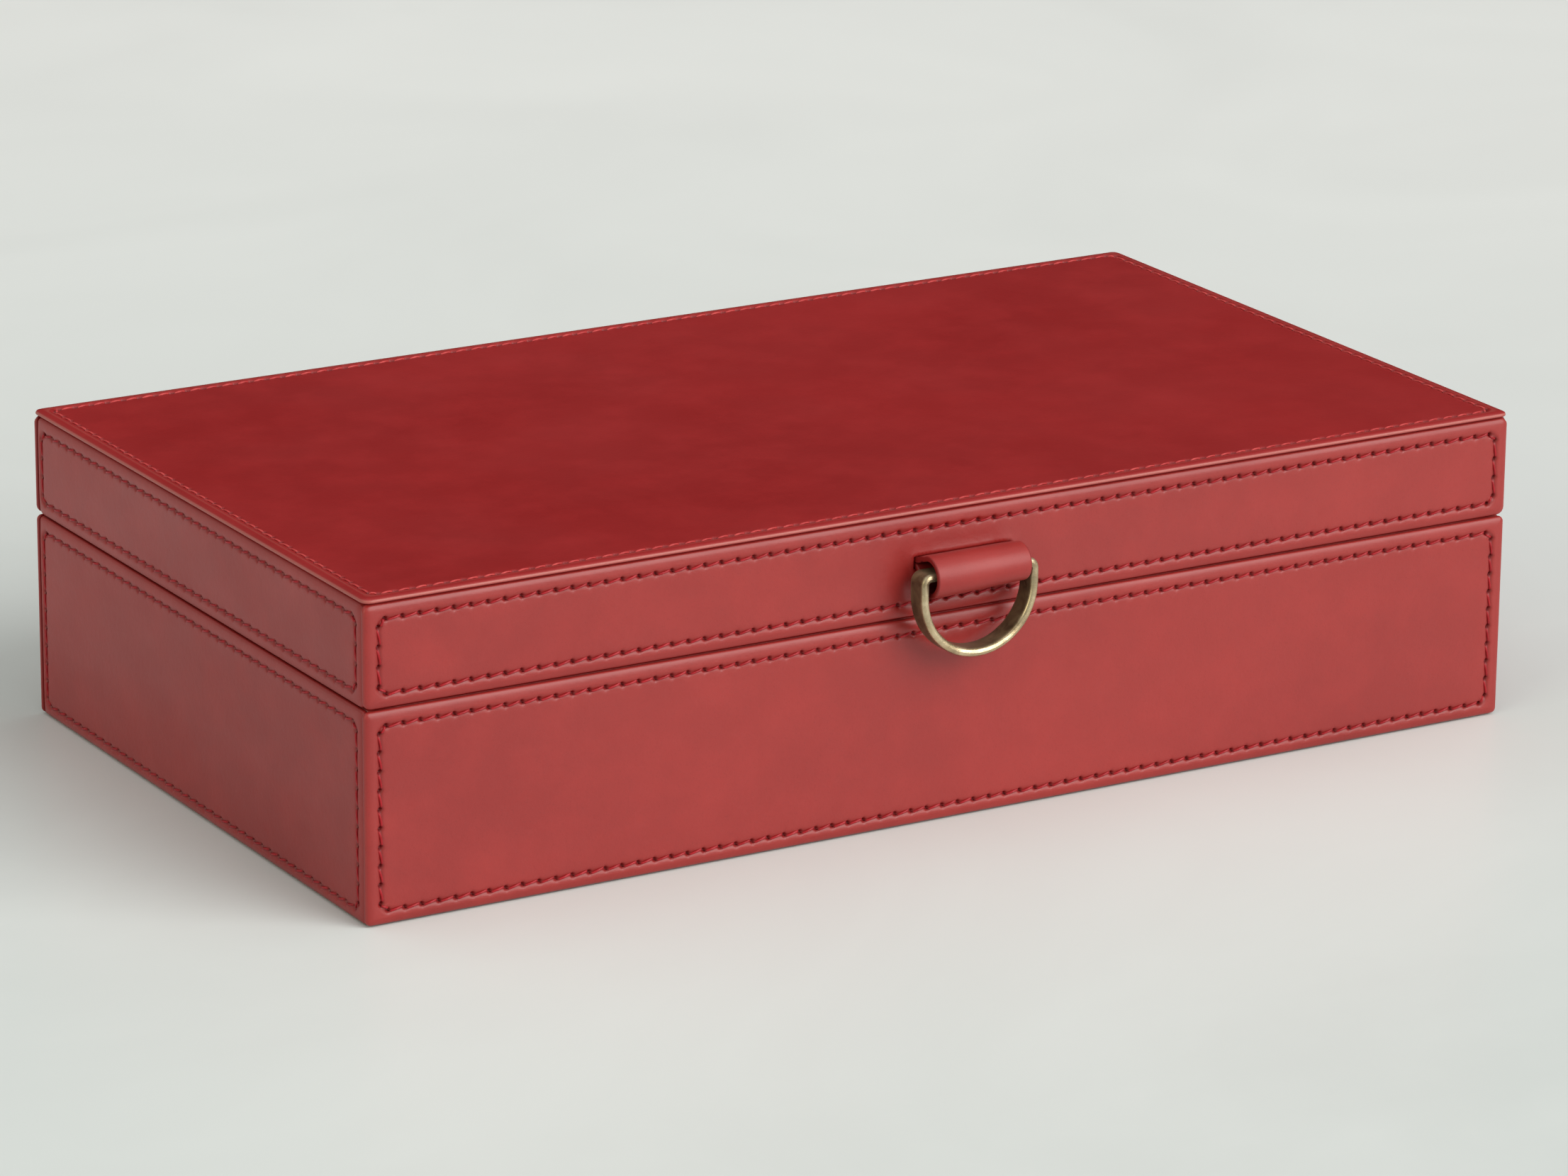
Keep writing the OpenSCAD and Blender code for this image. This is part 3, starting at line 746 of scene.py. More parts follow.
def warp_back(x1, H, top, depth=0.85):
    """Lower the rolled edge next to the hinges."""
    def w(u, v, h):
        k = hinge_dip(x1 - u)
        e = (H - v) if top else v
        f = max(0.0, 1 - e / 2.6)
        dv = depth * k * f
        return (u, v - dv if top else v + dv, h)
    return w


def warp_top(H, thick=1.6, also=None):
    """The turned edge under the top sheet stands back and leaves a shadow line."""
    def w(u, v, h):
        if also:
            u, v, h = also(u, v, h)
        e = H - v
        if e < 2.6:
            v -= 0.42 * smooth(-0.92 * thick, -0.6 * thick, h) * (1 - smooth(0.3, 2.6, e))
        return (u, v, h)
    return w


lo, hi = nb("base_front_leather")
stitched_panel("base_front_leather", "base", "base_front_leather", hi[0] - lo[0], hi[2] - lo[2], 1.6,
               place_front(lo[1], lo[0], lo[2]), (3.6, 3.6, 3.2, 3.5), LEATHER, 1)
lo, hi = nb("base_back_leather")
stitched_panel("base_back_leather", "base", "base_back_leather", hi[0] - lo[0], hi[2] - lo[2], 1.6,
               place_back(hi[1], hi[0], lo[2]), (3.6, 3.6, 3.2, 3.5), LEATHER, 2,
               warp=warp_back(hi[0], hi[2] - lo[2], True))
lo, hi = nb("base_left_leather")
stitched_panel("base_left_leather", "base", "base_left_leather", hi[1] - lo[1], hi[2] - lo[2], 1.6,
               place_left(lo[0], hi[1], lo[2]), (2.5, 3.2, 2.7, 3.5), LEATHER, 3)
lo, hi = nb("base_right_leather")
stitched_panel("base_right_leather", "base", "base_right_leather", hi[1] - lo[1], hi[2] - lo[2], 1.6,
               place_right(hi[0], lo[1], lo[2]), (3.2, 2.5, 2.7, 3.5), LEATHER, 4)

lo, hi = nb("lid_front_leather")
SLOT = (-12.75 - lo[0], 12.75 - lo[0], 61.62 - lo[2], 64.38 - lo[2])
stitched_panel("lid_front_leather", "lid", "lid_front_leather", hi[0] - lo[0], hi[2] - lo[2], 1.6,
               place_front(lo[1], lo[0], lo[2]), (3.6, 3.6, 3.3, 3.9), LEATHER, 5, hole=SLOT, lip=0.28,
               warp=warp_top(hi[2] - lo[2]), rc=1.9)
lo, hi = nb("lid_back_leather")
stitched_panel("lid_back_leather", "lid", "lid_back_leather", hi[0] - lo[0], hi[2] - lo[2], 1.6,
               place_back(hi[1], hi[0], lo[2]), (3.6, 3.6, 3.3, 3.9), LEATHER, 6,
               warp=warp_top(hi[2] - lo[2], also=warp_back(hi[0], hi[2] - lo[2], False)), rc=1.9)
lo, hi = nb("lid_left_leather")
stitched_panel("lid_left_leather", "lid", "lid_left_leather", hi[1] - lo[1], hi[2] - lo[2], 1.6,
               place_left(lo[0], hi[1], lo[2]), (2.5, 3.2, 3.3, 3.9), LEATHER, 7, warp=warp_top(hi[2] - lo[2]), rc=1.9)
lo, hi = nb("lid_right_leather")
stitched_panel("lid_right_leather", "lid", "lid_right_leather", hi[1] - lo[1], hi[2] - lo[2], 1.6,
               place_right(hi[0], lo[1], lo[2]), (3.2, 2.5, 3.3, 3.9), LEATHER, 8, warp=warp_top(hi[2] - lo[2]), rc=1.9)
lo, hi = nb("lid_top_leather")
stitched_panel("lid_top_leather", "lid", "lid_top_leather", hi[0] - lo[0], hi[1] - lo[1], hi[2] - lo[2],
               place_top(hi[2], lo[0], lo[1]), (3.4, 3.4, 3.4, 3.4), LIT_TOP_LEATHER, 9, rc=2.1)


# -------------------------------------------------------------------- pull
def strap():
    """The folded strap: a teardrop loop round the ring's bar, its two layers in the slot, its tails spread behind."""
    lo, hi = nb("pull_strap")
    cy, cz = -90.85, 61.0
    ro, t = 4.96, 1.3
    half = 12.5
    # centre line of the strap, from the upper tail to the lower tail
    rc = ro - t / 2
    path = [(-79.7, 69.2), (-79.75, 66.5), (-79.9, 64.9), (-80.6, 63.95), (-82.0, 63.68), (-84.0, 63.66), (-85.6, 63.72), (-86.6, 64.02), (-87.5, 64.55)]
    a0, a1 = math.radians(61), math.radians(322)
    n = 34
    for i in range(n + 1):
        a = a0 + (a1 - a0) * i / n
        path.append((cy + rc * math.cos(a), cz + rc * math.sin(a)))
    path += [(-86.75, 60.6), (-86.1, 61.6), (-85.2, 62.2), (-84.0, 62.33), (-82.0, 62.33), (-80.6, 62.05), (-79.9, 61.1), (-79.75, 59.5), (-79.7, 56.8)]
    # resample smoothly
    pts = [Vector((0, y, z)) for y, z in path]
    fine = []
    for i in range(len(pts) - 1):
        p0, p1, p2, p3 = pts[max(0, i - 1)], pts[i], pts[i + 1], pts[min(len(pts) - 1, i + 2)]
        m = 3 if (p2 - p1).length > 0.8 else 1
        for s in range(m):
            u = s / m
            fine.append(0.5 * ((2 * p1) + (p2 - p0) * u + (2 * p0 - 5 * p1 + 4 * p2 - p3) * u * u + (3 * p1 - p0 - 3 * p2 + p3) * u ** 3))
    fine.append(pts[-1])
    # cross-section: half width x thickness with rounded edges; first entries on the outer side
    e = 0.38
    prof = []
    xs = [-half + e] + [-half + e + (2 * half - 2 * e) * i / 14 for i in range(1, 14)] + [half - e]
    for x in xs:
        prof.append((x, t / 2))
    for k in range(1, 4):
        a = math.pi / 2 - math.pi / 2 * k / 4
        prof.append((half - e + e * math.cos(a), t / 2 - e + e * math.sin(a)))
    prof.append((half, t / 2 - e))
    prof.append((half, -t / 2 + e))
    for k in range(1, 4):
        a = -math.pi / 2 * k / 4
        prof.append((half - e + e * math.cos(a), -t / 2 + e + e * math.sin(a)))
    for x in reversed(xs):
        prof.append((x, -t / 2))
    for k in range(1, 4):
        a = -math.pi / 2 - math.pi / 2 * k / 4
        prof.append((-half + e + e * math.cos(a), -t / 2 + e + e * math.sin(a)))
    prof.append((-half, -t / 2 + e))
    prof.append((-half, t / 2 - e))
    for k in range(1, 4):
        a = math.pi - math.pi / 2 * k / 4
        prof.append((-half + e + e * math.cos(a), t / 2 - e + e * math.sin(a)))
    N = len(prof)
    verts, faces, shade, edge_hilites = [], [], [], []
    M = len(fine)
    for i, p in enumerate(fine):
        a = fine[max(0, i - 1)]
        b = fine[min(M - 1, i + 1)]
        tan = (b - a).normalized()
        nrm = Vector((0, tan.z, -tan.y))     # outer side of the loop: to the right of the travel
        if i == 0:
            pass
        for x, h in prof:
            # the edges of the strap sit back a touch, as if skived
            k = smooth(half - 1.6, half, abs(x))
            q = p + nrm * (h * (1 - 0.10 * k) if h > 0 else h)
            wob = 0.05 * noise.noise(Vector((x / 7.0, i / 9.0, 2.2)))
            verts.append((x, q.y + nrm.y * wob, q.z + nrm.z * wob))
            # the loop was drawn tighter at one end
            if q.y < -86.2 and q.z < 64.5:
                tight = 0.085 * smooth(-half, half, x) * smooth(-86.2, -88.0, q.y)
                verts[-1] = (x, verts[-1][1] + tight * 0.5 * (cy - verts[-1][1]), verts[-1][2] + tight * (cz + ro - verts[-1][2]))
            # the cut edges take their real dark edge dye; the inner face of the loop gets painted shade, and a painted
            # highlight runs along the outer face's edges
            cut = 1.0 if abs(x) > half - 0.25 else 0.0
            inside = 1.0 if h < 0 and abs(x) < half - 0.3 else 0.0
            shade.append(min(1.0, 0.62 * cut + 0.5 * inside))
            edge_hilites.append(0.3 if (not cut and abs(x) > half - 1.0 and h > 0) else 0.0)
    for i in range(M - 1):
        for k in range(N):
            l = (k + 1) % N
            faces.append((i * N + k, (i + 1) * N + k, (i + 1) * N + l, i * N + l))
    faces.append(tuple(range(N)))
    faces.append(tuple((M - 1) * N + k for k in reversed(range(N))))
    return piece("pull_strap_leather", verts, faces, STRAP_LEATHER, "lid", ("pull_strap",), {"shade": shade, "edge_highlight": edge_hilites})


def dring():
    lo, hi = nb("d_ring")
    R = (hi[0] - lo[0]) / 2
    t = 2.1
    b = hi[1] - lo[1]
    cy = (lo[1] + hi[1]) / 2
    top = hi[2]
    cz = lo[2] + R
    rc = R - t / 2
    zt = top - t / 2
    k = 1.5   # corner radius of the centre line
    path = []
    for i in range(49):                      # the bow, left to right
        a = math.pi + math.pi * i / 48
        path.append((rc * math.cos(a), cz + rc * math.sin(a)))
    path += [(rc, cz + (zt - k - cz) * s) for s in (0.25, 0.5, 0.75)]
    for i in range(9):
        a = math.pi / 2 * i / 8
        path.append((rc - k + k * math.cos(a), zt - k + k * math.sin(a)))
    path += [((rc - k) * (1 - 2 * s), zt) for s in [j / 10 for j in range(1, 10)]]
    for i in range(9):
        a = math.pi / 2 + math.pi / 2 * i / 8
        path.append((-rc + k + k * math.cos(a), zt - k + k * math.sin(a)))
    path += [(-rc, cz + (zt - k - cz) * s) for s in (0.75, 0.5, 0.25)]
    # section: rounded rectangle t x b, edges softened by handling
    e = 0.98
    sec = []
    for (cx_, cy_, a0) in ((t / 2 - e, b / 2 - e, 0), (-t / 2 + e, b / 2 - e, 90), (-t / 2 + e, -b / 2 + e, 180), (t / 2 - e, -b / 2 + e, 270)):
        for i in range(6):
            a = math.radians(a0 + 90 * i / 5)
            sec.append((cx_ + e * math.cos(a), cy_ + e * math.sin(a)))
        if a0 == 0:
            for s in (0.33, 0.66):
                sec.append(((t / 2 - e) * (1 - 2 * s), b / 2 + 0.02))
        if a0 == 90:
            for s in (0.2, 0.4, 0.6, 0.8):
                sec.append((-t / 2, (b / 2 - e) * (1 - 2 * s)))
        if a0 == 180:
            for s in (0.33, 0.66):
                sec.append((-(t / 2 - e) * (1 - 2 * s), -b / 2 - 0.02))
        if a0 == 270:
            for s in (0.2, 0.4, 0.6, 0.8):
                sec.append((t / 2, -(b / 2 - e) * (1 - 2 * s)))
    N, M = len(sec), len(path)
    verts, faces, pat_shade = [], [], []
    for i, (x, z) in enumerate(path):
        a = path[(i - 1) % M]
        c = path[(i + 1) % M]
        tx, tz = c[0] - a[0], c[1] - a[1]
        L = math.hypot(tx, tz)
        tx, tz = tx / L, tz / L
        nx_, nz_ = tz, -tx                    # outward
        for (r_, y_) in sec:
            wob = 0.025 * noise.noise(Vector((x / 3.0, y_ / 3.0, z / 3.0)))
            verts.append((x + nx_ * (r_ + wob), cy + y_, z + nz_ * (r_ + wob)))
            # partly patina, partly painted light: the bands and the rounded sides of the front and back faces darken,
            # leaving a painted highlight down the middle of each face; the bow, handled most, stays barest
            e_ = smooth(b / 2 - 0.95, b / 2 - 0.25, abs(y_))
            n_ = noise.noise(Vector((x / 3.2, y_ / 1.6, z / 3.2)))
            n2_ = noise.noise(Vector((x / 0.9, y_ / 0.7, z / 0.9 + 7)))
            worn = 1 - 0.38 * smooth(cz - 6, cz + 6, z)
            pat_shade.append(max(0.0, min(1.0, 1.0 - e_ * worn * (0.95 - 0.75 * max(0, n_) - 0.25 * max(0, n2_)))))
    for i in range(M):
        j = (i + 1) % M
        for q in range(N):
            l = (q + 1) % N
            faces.append((i * N + q, j * N + q, j * N + l, i * N + l))
    return piece("d_ring_brass", verts, faces, ANTIQUE, "ring", ("d_ring",), {"patina_and_shade": pat_shade})


strap()
dring()

# ------------------------------------------------------------------ linings
for n, body, big, seed in (("base_lining_front", "base", (1, 1), 21), ("base_lining_back", "base", (1, -1), 22),
                           ("base_lining_left", "base", (0, 1), 23), ("base_lining_right", "base", (0, -1), 24),
                           ("lid_lining_front", "lid", (1, 1), 25), ("lid_lining_back", "lid", (1, -1), 26),
                           ("lid_lining_left", "lid", (0, 1), 27), ("lid_lining_right", "lid", (0, -1), 28)):
    lo, hi = nb(n)
    soft_box(n + "_suede", lo, hi, SUEDE, body, (n,), r=0.6, step=5.0, puff=0.35, faces_puffed=(big,), wav=0.12, seed=seed)

lo, hi = nb("base_floor_pad")
soft_box("base_floor_pad_suede", lo, hi, SUEDE, "base", ("base_floor_pad",), r=0.7, step=4.0, puff=0.5,
         faces_puffed=((2, 1),), wav=0.25, seed=31)
for n, seed in (("divider_centre", 41), ("divider_left", 42), ("divider_right_long", 43), ("divider_right_short", 44)):
    lo, hi = nb(n)
    ax = 0 if hi[0] - lo[0] < hi[1] - lo[1] else 1
    soft_box(n + "_suede", lo, hi, SUEDE, "base", (n,), r=1.15, step=4.0, puff=0.15,
             faces_puffed=((ax, 1), (ax, -1)), wav=0.08, seed=seed)
# the two rails are one node of two solids
lo, hi = nb("tray_rails")
rw = 4.0
parts = []
for i, (a, b) in enumerate(((lo[1], lo[1] + rw), (hi[1] - rw, hi[1]))):
    soft_box("tray_rail_%s_suede" % ("front", "back")[i], [lo[0], a, lo[2]], [hi[0], b, hi[2]], SUEDE, "base",
             ("tray_rails",) if i == 0 else (), r=1.0, step=4.0, puff=0.1, faces_puffed=((1, 1 if i == 0 else -1),), wav=0.08, seed=50 + i)

# felt foot
lo, hi = nb("underside_felt")
soft_box("underside_felt_sheet", lo, hi, FELT, "base", ("underside_felt",), r=0.35, step=8.0, puff=0.0, wav=0.0, seed=61)


# rim strips
def trim(name, node, body, up):
    lo, hi = nb(node)
    hx, hy = hi[0], hi[1]
    w = 6.4
    z0, z1 = (lo[2], hi[2]) if up else (hi[2], lo[2])
    s = 1 if up else -1
    r = 0.45
    prof = [(0, z0), (0, z1 - s * 0.3), (0.09, z1 - s * 0.09), (0.3, z1), (1.6, z1), (3.2, z1), (4.8, z1), (w - r, z1), (w - r * 0.5, z1 - s * 0.06),
            (w - r * 0.13, z1 - s * 0.22), (w, z1 - s * r), (w, z0)]
    profile = [(d, d, z) for d, z in prof]
    ticks = []
    for hx_, hw in HINGES:
        for q in (-hw - 0.08, -hw, -hw * 0.33, hw * 0.33, hw, hw + 0.08):
            ticks.append((hx_ + q) / hx)
    yb = nb("left_hinge_base_leaf")[0][1] - 0.1

    def fix(p, sx, sy):
        if sy == 1 and abs(sx) < 1:
            for hx_, hw in HINGES:
                if abs(sx * hx - hx_) < hw + 0.01:
                    p[1] = min(p[1], yb)
        return p
    return ring_sweep(name, (hx, hy), profile, TRIM_LEATHER, body, (node,), ticks_x=ticks, fix=fix)


trim("base_rim_leather", "base_rim_trim", "base", True)
trim("lid_rim_leather", "lid_rim_trim", "lid", False)


# mirror frame
def mirror_frame():
    lo, hi = nb("mirror_frame")
    mlo, mhi = nb("mirror_glass")
    hx, hy = hi[0], hi[1]
    wx, wy = hx - (mhi[0] - 3.0), hy - (mhi[1] - 3.0)
    gx, gy = hx - mhi[0] - 0.2, hy - mhi[1] - 0.2
    z0, z1 = hi[2], lo[2]          # z0 is glued to the lid, z1 faces the user
    zg = mlo[2] - 0.03
    prof = []
    for (q, off, z) in ((0, 0, z0), (0, 0, z1 + 0.6), (0, 0.15, z1 + 0.25), (0, 0.5, z1 + 0.1), (0, 1.5, z1 + 0.02), (0.25, 0, z1), (0.5, 0, z1),
                        (0.75, 0, z1), (1, -1.6, z1 + 0.03), (1, -0.7, z1 + 0.1), (1, -0.25, z1 + 0.3), (1, 0, z1 + 0.7), (1, 0, zg)):
        prof.append((q * wx + off, q * wy + off, z))
    prof += [(gx, gy, zg), (gx, gy, z0)]
    return ring_sweep("mirror_frame_suede", (hx, hy), prof, SUEDE, "lid", ("mirror_frame",))


mirror_frame()

# --------------------------------------------------------------------- tray
t0, t1 = nb("tray_bottom")
soft_box("tray_bottom_board", t0, t1, SUEDE, "tray", ("tray_bottom",), r=0.5, step=8.0, puff=0.0, wav=0.0, seed=70)
wl, wh = nb("tray_left_wall")
div_lo, div_hi = nb("tray_long_divider")
scoop_y = (div_hi[1] + wh[1]) / 2
top = wh[2]


def scoop(o, p):
    dy = abs(o[1] - scoop_y)
    R, up = 12.0, 5.0
    edge = math.sqrt(R * R - up * up)
    # soften the lip of the scoop
    if dy < edge + 1.2:
        d = math.sqrt(max(0.0, R * R - min(dy, R) ** 2)) - up if dy < edge else 0.0
        drop = max(0.0, d)
        base = p[2] - wl[2]
        full = top - wl[2]
        if base > full * 0.45:
            k = (base - full * 0.45) / (full * 0.55)
            o[2] -= drop * k
    return o


for n, seed, shp, ax in (("tray_front_wall", 71, None, 1), ("tray_back_wall", 72, None, 1), ("tray_left_wall", 73, scoop, 0), ("tray_right_wall", 74, scoop, 0)):
    lo, hi = nb(n)
    soft_box(n + "_suede", lo, hi, SUEDE, "tray", (n,), r=1.1, step=1.8 if shp else 4.0, puff=0.12,
             faces_puffed=((ax, 1), (ax, -1)), wav=0.06, seed=seed, shape=shp)
lo, hi = nb("tray_floor_pad")
soft_box("tray_floor_pad_suede", lo, hi, SUEDE, "tray", ("tray_floor_pad",), r=0.45, step=4.0, puff=0.3,
         faces_puffed=((2, 1),), wav=0.15, seed=75)
lo, hi = nb("tray_long_divider")
soft_box("tray_long_divider_suede", lo, hi, SUEDE, "tray", ("tray_long_divider",), r=1.2, step=4.0, puff=0.12,
         faces_puffed=((1, 1), (1, -1)), wav=0.06, seed=76)
lo, hi = nb("tray_short_dividers")
for i, (a, b) in enumerate(((lo[0], lo[0] + 3.0), (hi[0] - 3.0, hi[0]))):
    soft_box("tray_short_divider_%s_suede" % ("left", "right")[i], [a, lo[1], lo[2]], [b, hi[1], hi[2]], SUEDE, "tray",
             ("tray_short_dividers",) if i == 0 else (), r=1.2, step=4.0, puff=0.12, faces_puffed=((0, 1), (0, -1)), wav=0.06, seed=77 + i)


# ring rolls: foam strips in suede, blown up by a cloth simulation and held between their neighbours
def rolls():
    lo, hi = nb("ring_rolls")
    n = 7
    d = 13.4
    pitch = 13.5
    H = hi[2] - lo[2]
    L = hi[0] - lo[0]
    out = []
    for i in range(n):
        yc = lo[1] + d / 2 + pitch * i
        # start a little slack
        w, h, ln = d * 0.80, H * 0.88, L - 2.2
        verts, faces = [], []
        NS, NL = 28, 60
        for a in range(NL + 1):
            x = lo[0] + 1.1 + ln * a / NL
            e = min(a, NL - a) / NL * ln
            k = 1.0 if e > 2.4 else 0.82 + 0.18 * math.sqrt(max(0.0, 1 - (1 - e / 2.4) ** 2))
            for s in range(NS):
                th = 2 * math.pi * s / NS
                cy_, sz = math.cos(th), math.sin(th)
                p = 0.75
                yy = math.copysign(abs(cy_) ** p, cy_) * w / 2 * k
                zz = math.copysign(abs(sz) ** p, sz) * h / 2 * k
                verts.append((x, yc + yy, lo[2] + 0.4 + h / 2 + zz))
        for a in range(NL):
            for s in range(NS):
                faces.append((a * NS + s, a * NS + (s + 1) % NS, (a + 1) * NS + (s + 1) % NS, (a + 1) * NS + s))
        faces.append(tuple(range(NS)))
        faces.append(tuple(NL * NS + s for s in reversed(range(NS))))
        ob = piece("ring_roll_%d_suede" % (i + 1), verts, faces, ROLL, "tray", ("ring_rolls",) if i == 0 else (),
                   {"shade": [0.0] * len(verts)})
        out.append(ob)
    return out, (lo, hi, d, pitch, H)


def inflate(ob, box, frames=18, pressure=4.0, voxel=2.2, cap=3.0, seed=0):
    """Cloth with pressure, run here and applied, then kept inside its own space."""
    lo, hi = box
    bpy.context.view_layer.objects.active = ob
    rm = ob.modifiers.new("remesh", "REMESH")
    rm.mode = "VOXEL"
    rm.voxel_size = voxel * MM
    dg = bpy.context.evaluated_depsgraph_get()
    me = bpy.data.meshes.new_from_object(ob.evaluated_get(dg), depsgraph=dg)
    ob.modifiers.clear()
    mats = [m for m in ob.data.materials]
    ob.data = me
    me.materials.clear()
    for m in mats:
        me.materials.append(m)
    # seeded slack so that the suede creases a little differently on each
    rnd = random.Random(seed)
    ox = Vector((rnd.random() * 20, rnd.random() * 20, rnd.random() * 20))
    for v in me.vertices:
        v.co += Vector((0, 0.25 * MM * noise.noise(v.co * 110 + ox), 0.3 * MM * noise.noise(v.co * 140 + ox)))
    rest = [v.co.copy() for v in me.vertices]
    cl = ob.modifiers.new("cloth", "CLOTH")
    cl.settings.quality = 6
    cl.settings.use_pressure = True
    cl.settings.uniform_pressure_force = pressure
    cl.settings.mass = 0.15
    cl.settings.tension_stiffness = 12
    cl.settings.compression_stiffness = 12
    cl.settings.shear_stiffness = 6
    cl.settings.bending_stiffness = 0.6
    cl.settings.effector_weights.gravity = 0.0
    cl.point_cache.frame_start = 1
    cl.point_cache.frame_end = frames
    sc = bpy.context.scene
    for f in range(1, frames + 1):
        sc.frame_set(f)
    dg = bpy.context.evaluated_depsgraph_get()
    me2 = bpy.data.meshes.new_from_object(ob.evaluated_get(dg), depsgraph=dg)
    ob.modifiers.clear()
    ob.data = me2
    sc.frame_set(1)
    me = me2
    for v, r in zip(me.vertices, rest):
        d = v.co - r
        if d.length > cap * MM:
            v.co = r + d.normalized() * cap * MM
        for k in range(3):
            a, b = lo[k] * MM, hi[k] * MM
            # soft clamp against the neighbours and the tray
            m = 0.9 * MM
            if v.co[k] > b - m:
                v.co[k] = b - m + m * (1 - math.exp(-(v.co[k] - b + m) / m))
            if v.co[k] < a + m:
                v.co[k] = a + m - m * (1 - math.exp(-(a + m - v.co[k]) / m))
    sub = ob.modifiers.new("sub", "SUBSURF")
    sub.levels = sub.render_levels = 1
    dg = bpy.context.evaluated_depsgraph_get()
    me3 = bpy.data.meshes.new_from_object(ob.evaluated_get(dg), depsgraph=dg)
    ob.modifiers.clear()
    ob.data = me3
    at = me3.attributes.get("shade") or me3.attributes.new("shade", "FLOAT", "POINT")
    zs = [v.co.z for v in me3.vertices]
    z0, z1 = min(zs), max(zs)
    # painted shade: the fabric down in the clefts between the rolls is darkened
    at.data.foreach_set("value", [0.6 * (1 - smooth(0.25, 0.85, (z - z0) / (z1 - z0))) for z in zs])
    me3.shade_smooth()


R_OBS, (rlo, rhi, rd, rp, rH) = rolls()
for i, ob in enumerate(R_OBS):
    yc = rlo[1] + rd / 2 + rp * i
    inflate(ob, ([rlo[0], yc - rd / 2 - 0.02, rlo[2]], [rhi[0], yc + rd / 2 + 0.02, rhi[2]]), seed=200 + i)

# ------------------------------------------------------- carried-over pieces
for n, o in NODES.items():
    if n.endswith("_board"):
        mat = BOARD
    elif n == "mirror_glass":
        mat = MIRROR
    elif "hinge" in n or n == "strap_tacks":
        mat = BRASS
    else:
        continue
    me = o.data
    if me.materials:
        for i in range(len(me.materials)):
            me.materials[i] = mat
    else:
        me.materials.append(mat)
    for s in o.material_slots:
        s.material = mat

# -------------------------------------------------------------------- stage
fm = NT("pale_floor")
fn = fm.noise(5.0, 5.0, 0.6, dist=1.2)
fb = fm.mix(fm.maprange(fn, 0.35, 0.7, 0.0, 1.0), (0.688, 0.728, 0.718), (0.716, 0.756, 0.746))
fd = fm.t.nodes.new("ShaderNodeVectorMath")
fd.operation = "DOT_PRODUCT"
fd.inputs[1].default_value = (0.7, 0.7, 0.0)
fm.link(fm.co, fd.inputs[0])
# painted light: the floor is painted a little paler towards the back right
fm.color(fm.mix(fm.maprange(fd.outputs["Value"], -0.12, 0.62, 0.0, 1.0), fb, (0.820, 0.832, 0.820)))
fm.rough(fm.maprange(fn, 0.3, 0.7, 0.32, 0.42))
fm.set(Specular_IOR_Level=0.2)
bm = bmesh.new()
bmesh.ops.create_grid(bm, x_segments=8, y_segments=8, size=9.0)
fme = bpy.data.meshes.new("floor")
bm.to_mesh(fme)
bm.free()
floor = bpy.data.objects.new("floor", fme)
floor.location = (0, 0, -0.00005)
fme.materials.append(fm.m)
COLL.objects.link(floor)

# ------------------------------------------------------------------- camera
yaw, pitch, roll = math.radians(-30.640), math.radians(17.559), math.radians(0.505)
f_ = Vector((-math.sin(yaw) * math.cos(pitch), math.cos(yaw) * math.cos(pitch), -math.sin(pitch)))
r_ = Vector((math.cos(yaw), math.sin(yaw), 0))
u_ = r_.cross(f_)
r2 = math.cos(roll) * r_ + math.sin(roll) * u_
u2 = -math.sin(roll) * r_ + math.cos(roll) * u_
cam = bpy.data.cameras.new("camera")
cam.sensor_width = 36.0
cam.sensor_fit = "HORIZONTAL"
cam.lens = 159.605
cam.clip_start = 0.05
cam.clip_end = 50
co = bpy.data.objects.new("camera", cam)
mw = Matrix(((r2.x, u2.x, -f_.x, -0.8034), (r2.y, u2.y, -f_.y, -1.3623), (r2.z, u2.z, -f_.z, 0.5320), (0, 0, 0, 1)))
co.matrix_world = mw
COLL.objects.link(co)
bpy.context.scene.camera = co

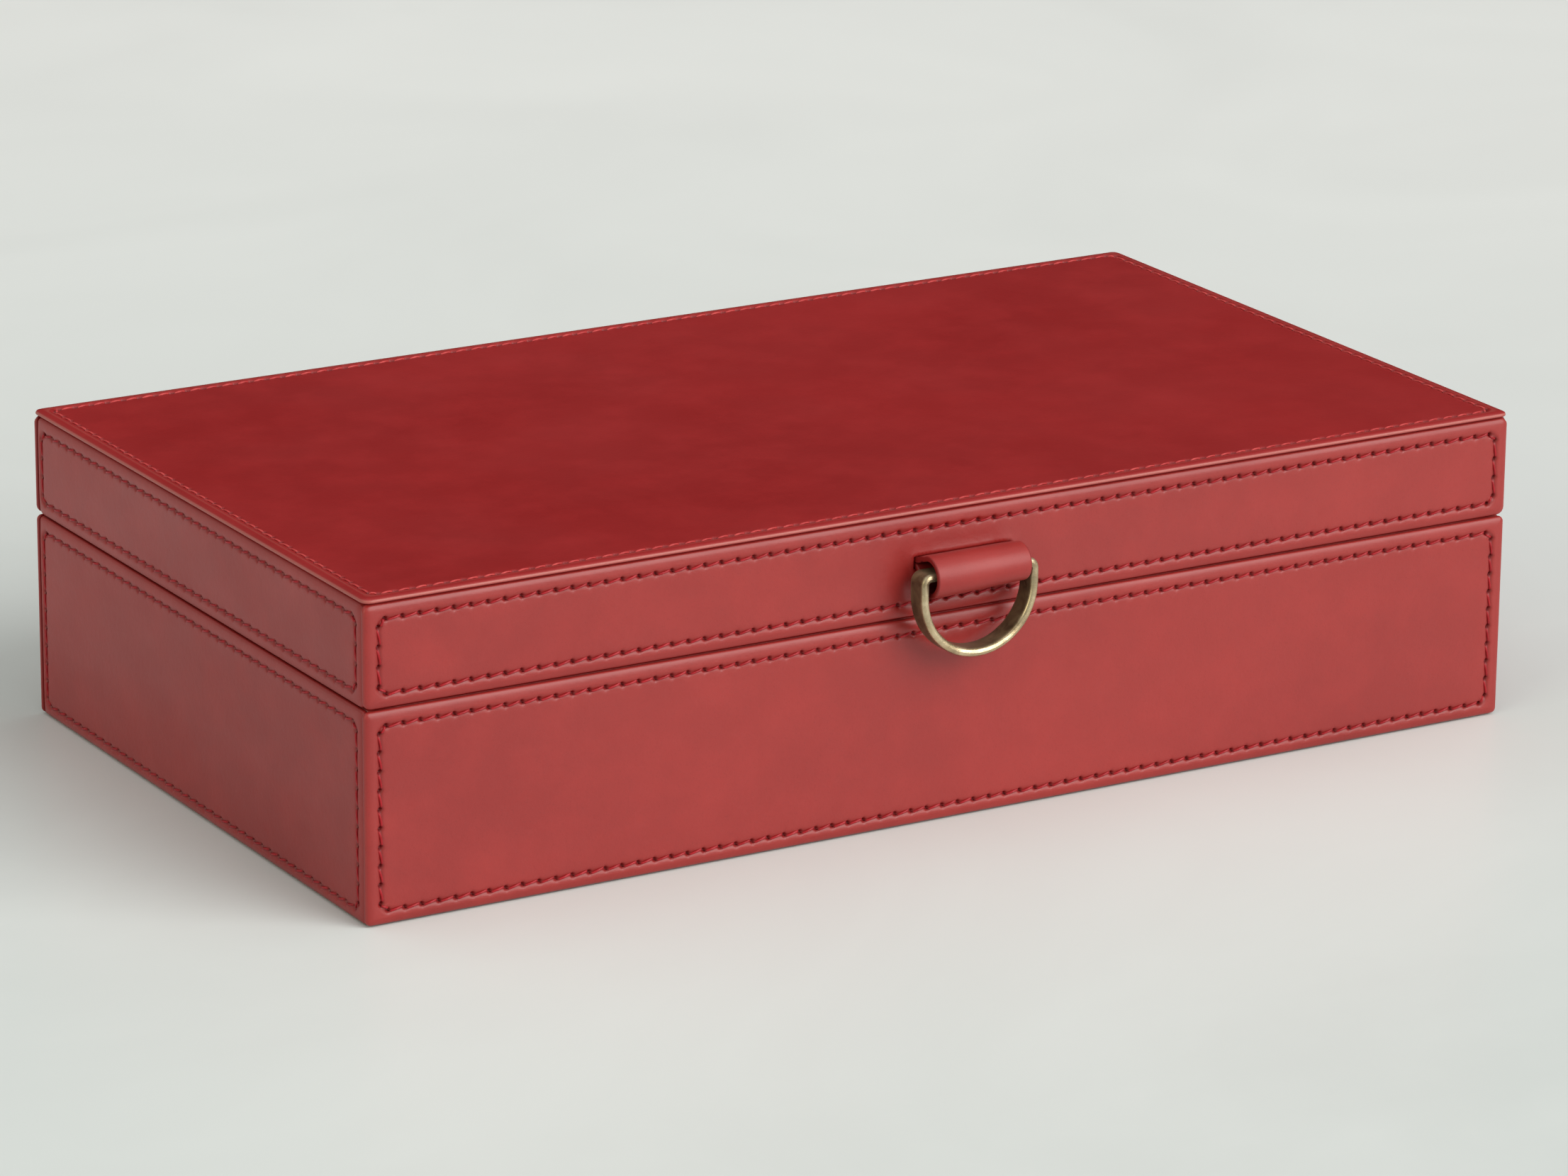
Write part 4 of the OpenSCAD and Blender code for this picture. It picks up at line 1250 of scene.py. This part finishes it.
# ------------------------------------------------------------------- lights
w = bpy.data.worlds.new("studio")
bpy.context.scene.world = w
w.use_nodes = True
wt = w.node_tree
wt.nodes.clear()
wo = wt.nodes.new("ShaderNodeOutputWorld")
bg = wt.nodes.new("ShaderNodeBackground")
tc = wt.nodes.new("ShaderNodeTexCoord")
sep = wt.nodes.new("ShaderNodeSeparateXYZ")
wt.links.new(tc.outputs["Generated"], sep.inputs[0])
rp_ = wt.nodes.new("ShaderNodeValToRGB")
rp_.color_ramp.elements[0].position = 0.0
rp_.color_ramp.elements[0].color = (0.40, 0.40, 0.365, 1)
rp_.color_ramp.elements[1].position = 1.0
rp_.color_ramp.elements[1].color = (0.92, 0.93, 0.92, 1)
e = rp_.color_ramp.elements.new(0.35)
e.color = (0.42, 0.42, 0.385, 1)
wt.links.new(sep.outputs["Z"], rp_.inputs["Fac"])
# a dark flag stands behind the case, where its top would mirror the sky
flag = wt.nodes.new("ShaderNodeVectorMath")
flag.operation = "DOT_PRODUCT"
flag.inputs[1].default_value = (0.485, 0.820, 0.303)
wt.links.new(tc.outputs["Generated"], flag.inputs[0])
fr = wt.nodes.new("ShaderNodeMapRange")
fr.interpolation_type = "SMOOTHSTEP"
for k_, v_ in (("From Min", 0.62), ("From Max", 0.90), ("To Min", 1.0), ("To Max", 0.04)):
    fr.inputs[k_].default_value = v_
wt.links.new(flag.outputs["Value"], fr.inputs["Value"])
wt.links.new(rp_.outputs["Color"], bg.inputs["Color"])
wt.links.new(fr.outputs["Result"], bg.inputs["Strength"])
wt.links.new(bg.outputs[0], wo.inputs["Surface"])


def area(name, loc, target, size, power, color=(1, 1, 1), size_y=None):
    l = bpy.data.lights.new(name, "AREA")
    l.shape = "RECTANGLE"
    l.size = size
    l.size_y = size_y or size
    l.energy = power
    l.color = color
    o = bpy.data.objects.new(name, l)
    o.location = loc
    d = Vector(target) - Vector(loc)
    o.rotation_euler = d.to_track_quat("-Z", "Y").to_euler()
    COLL.objects.link(o)
    return o


key = bpy.data.lights.new("key_window", "SUN")
key.energy = 2.62
key.angle = math.radians(50)
key.color = (1.0, 0.99, 0.965)
ko = bpy.data.objects.new("key_window", key)
ko.rotation_euler = (-Vector((2.58, -4.56, 2.94))).to_track_quat("-Z", "Y").to_euler()
COLL.objects.link(ko)
area("left_fill", (-2.45, -0.95, 0.95), (0, 0, 0.03), 1.6, 12.2, (1.0, 0.965, 0.70))

bpy.context.scene.view_settings.view_transform = "Standard"
bpy.context.scene.view_settings.look = "None"
bpy.context.scene.view_settings.exposure = 0.0
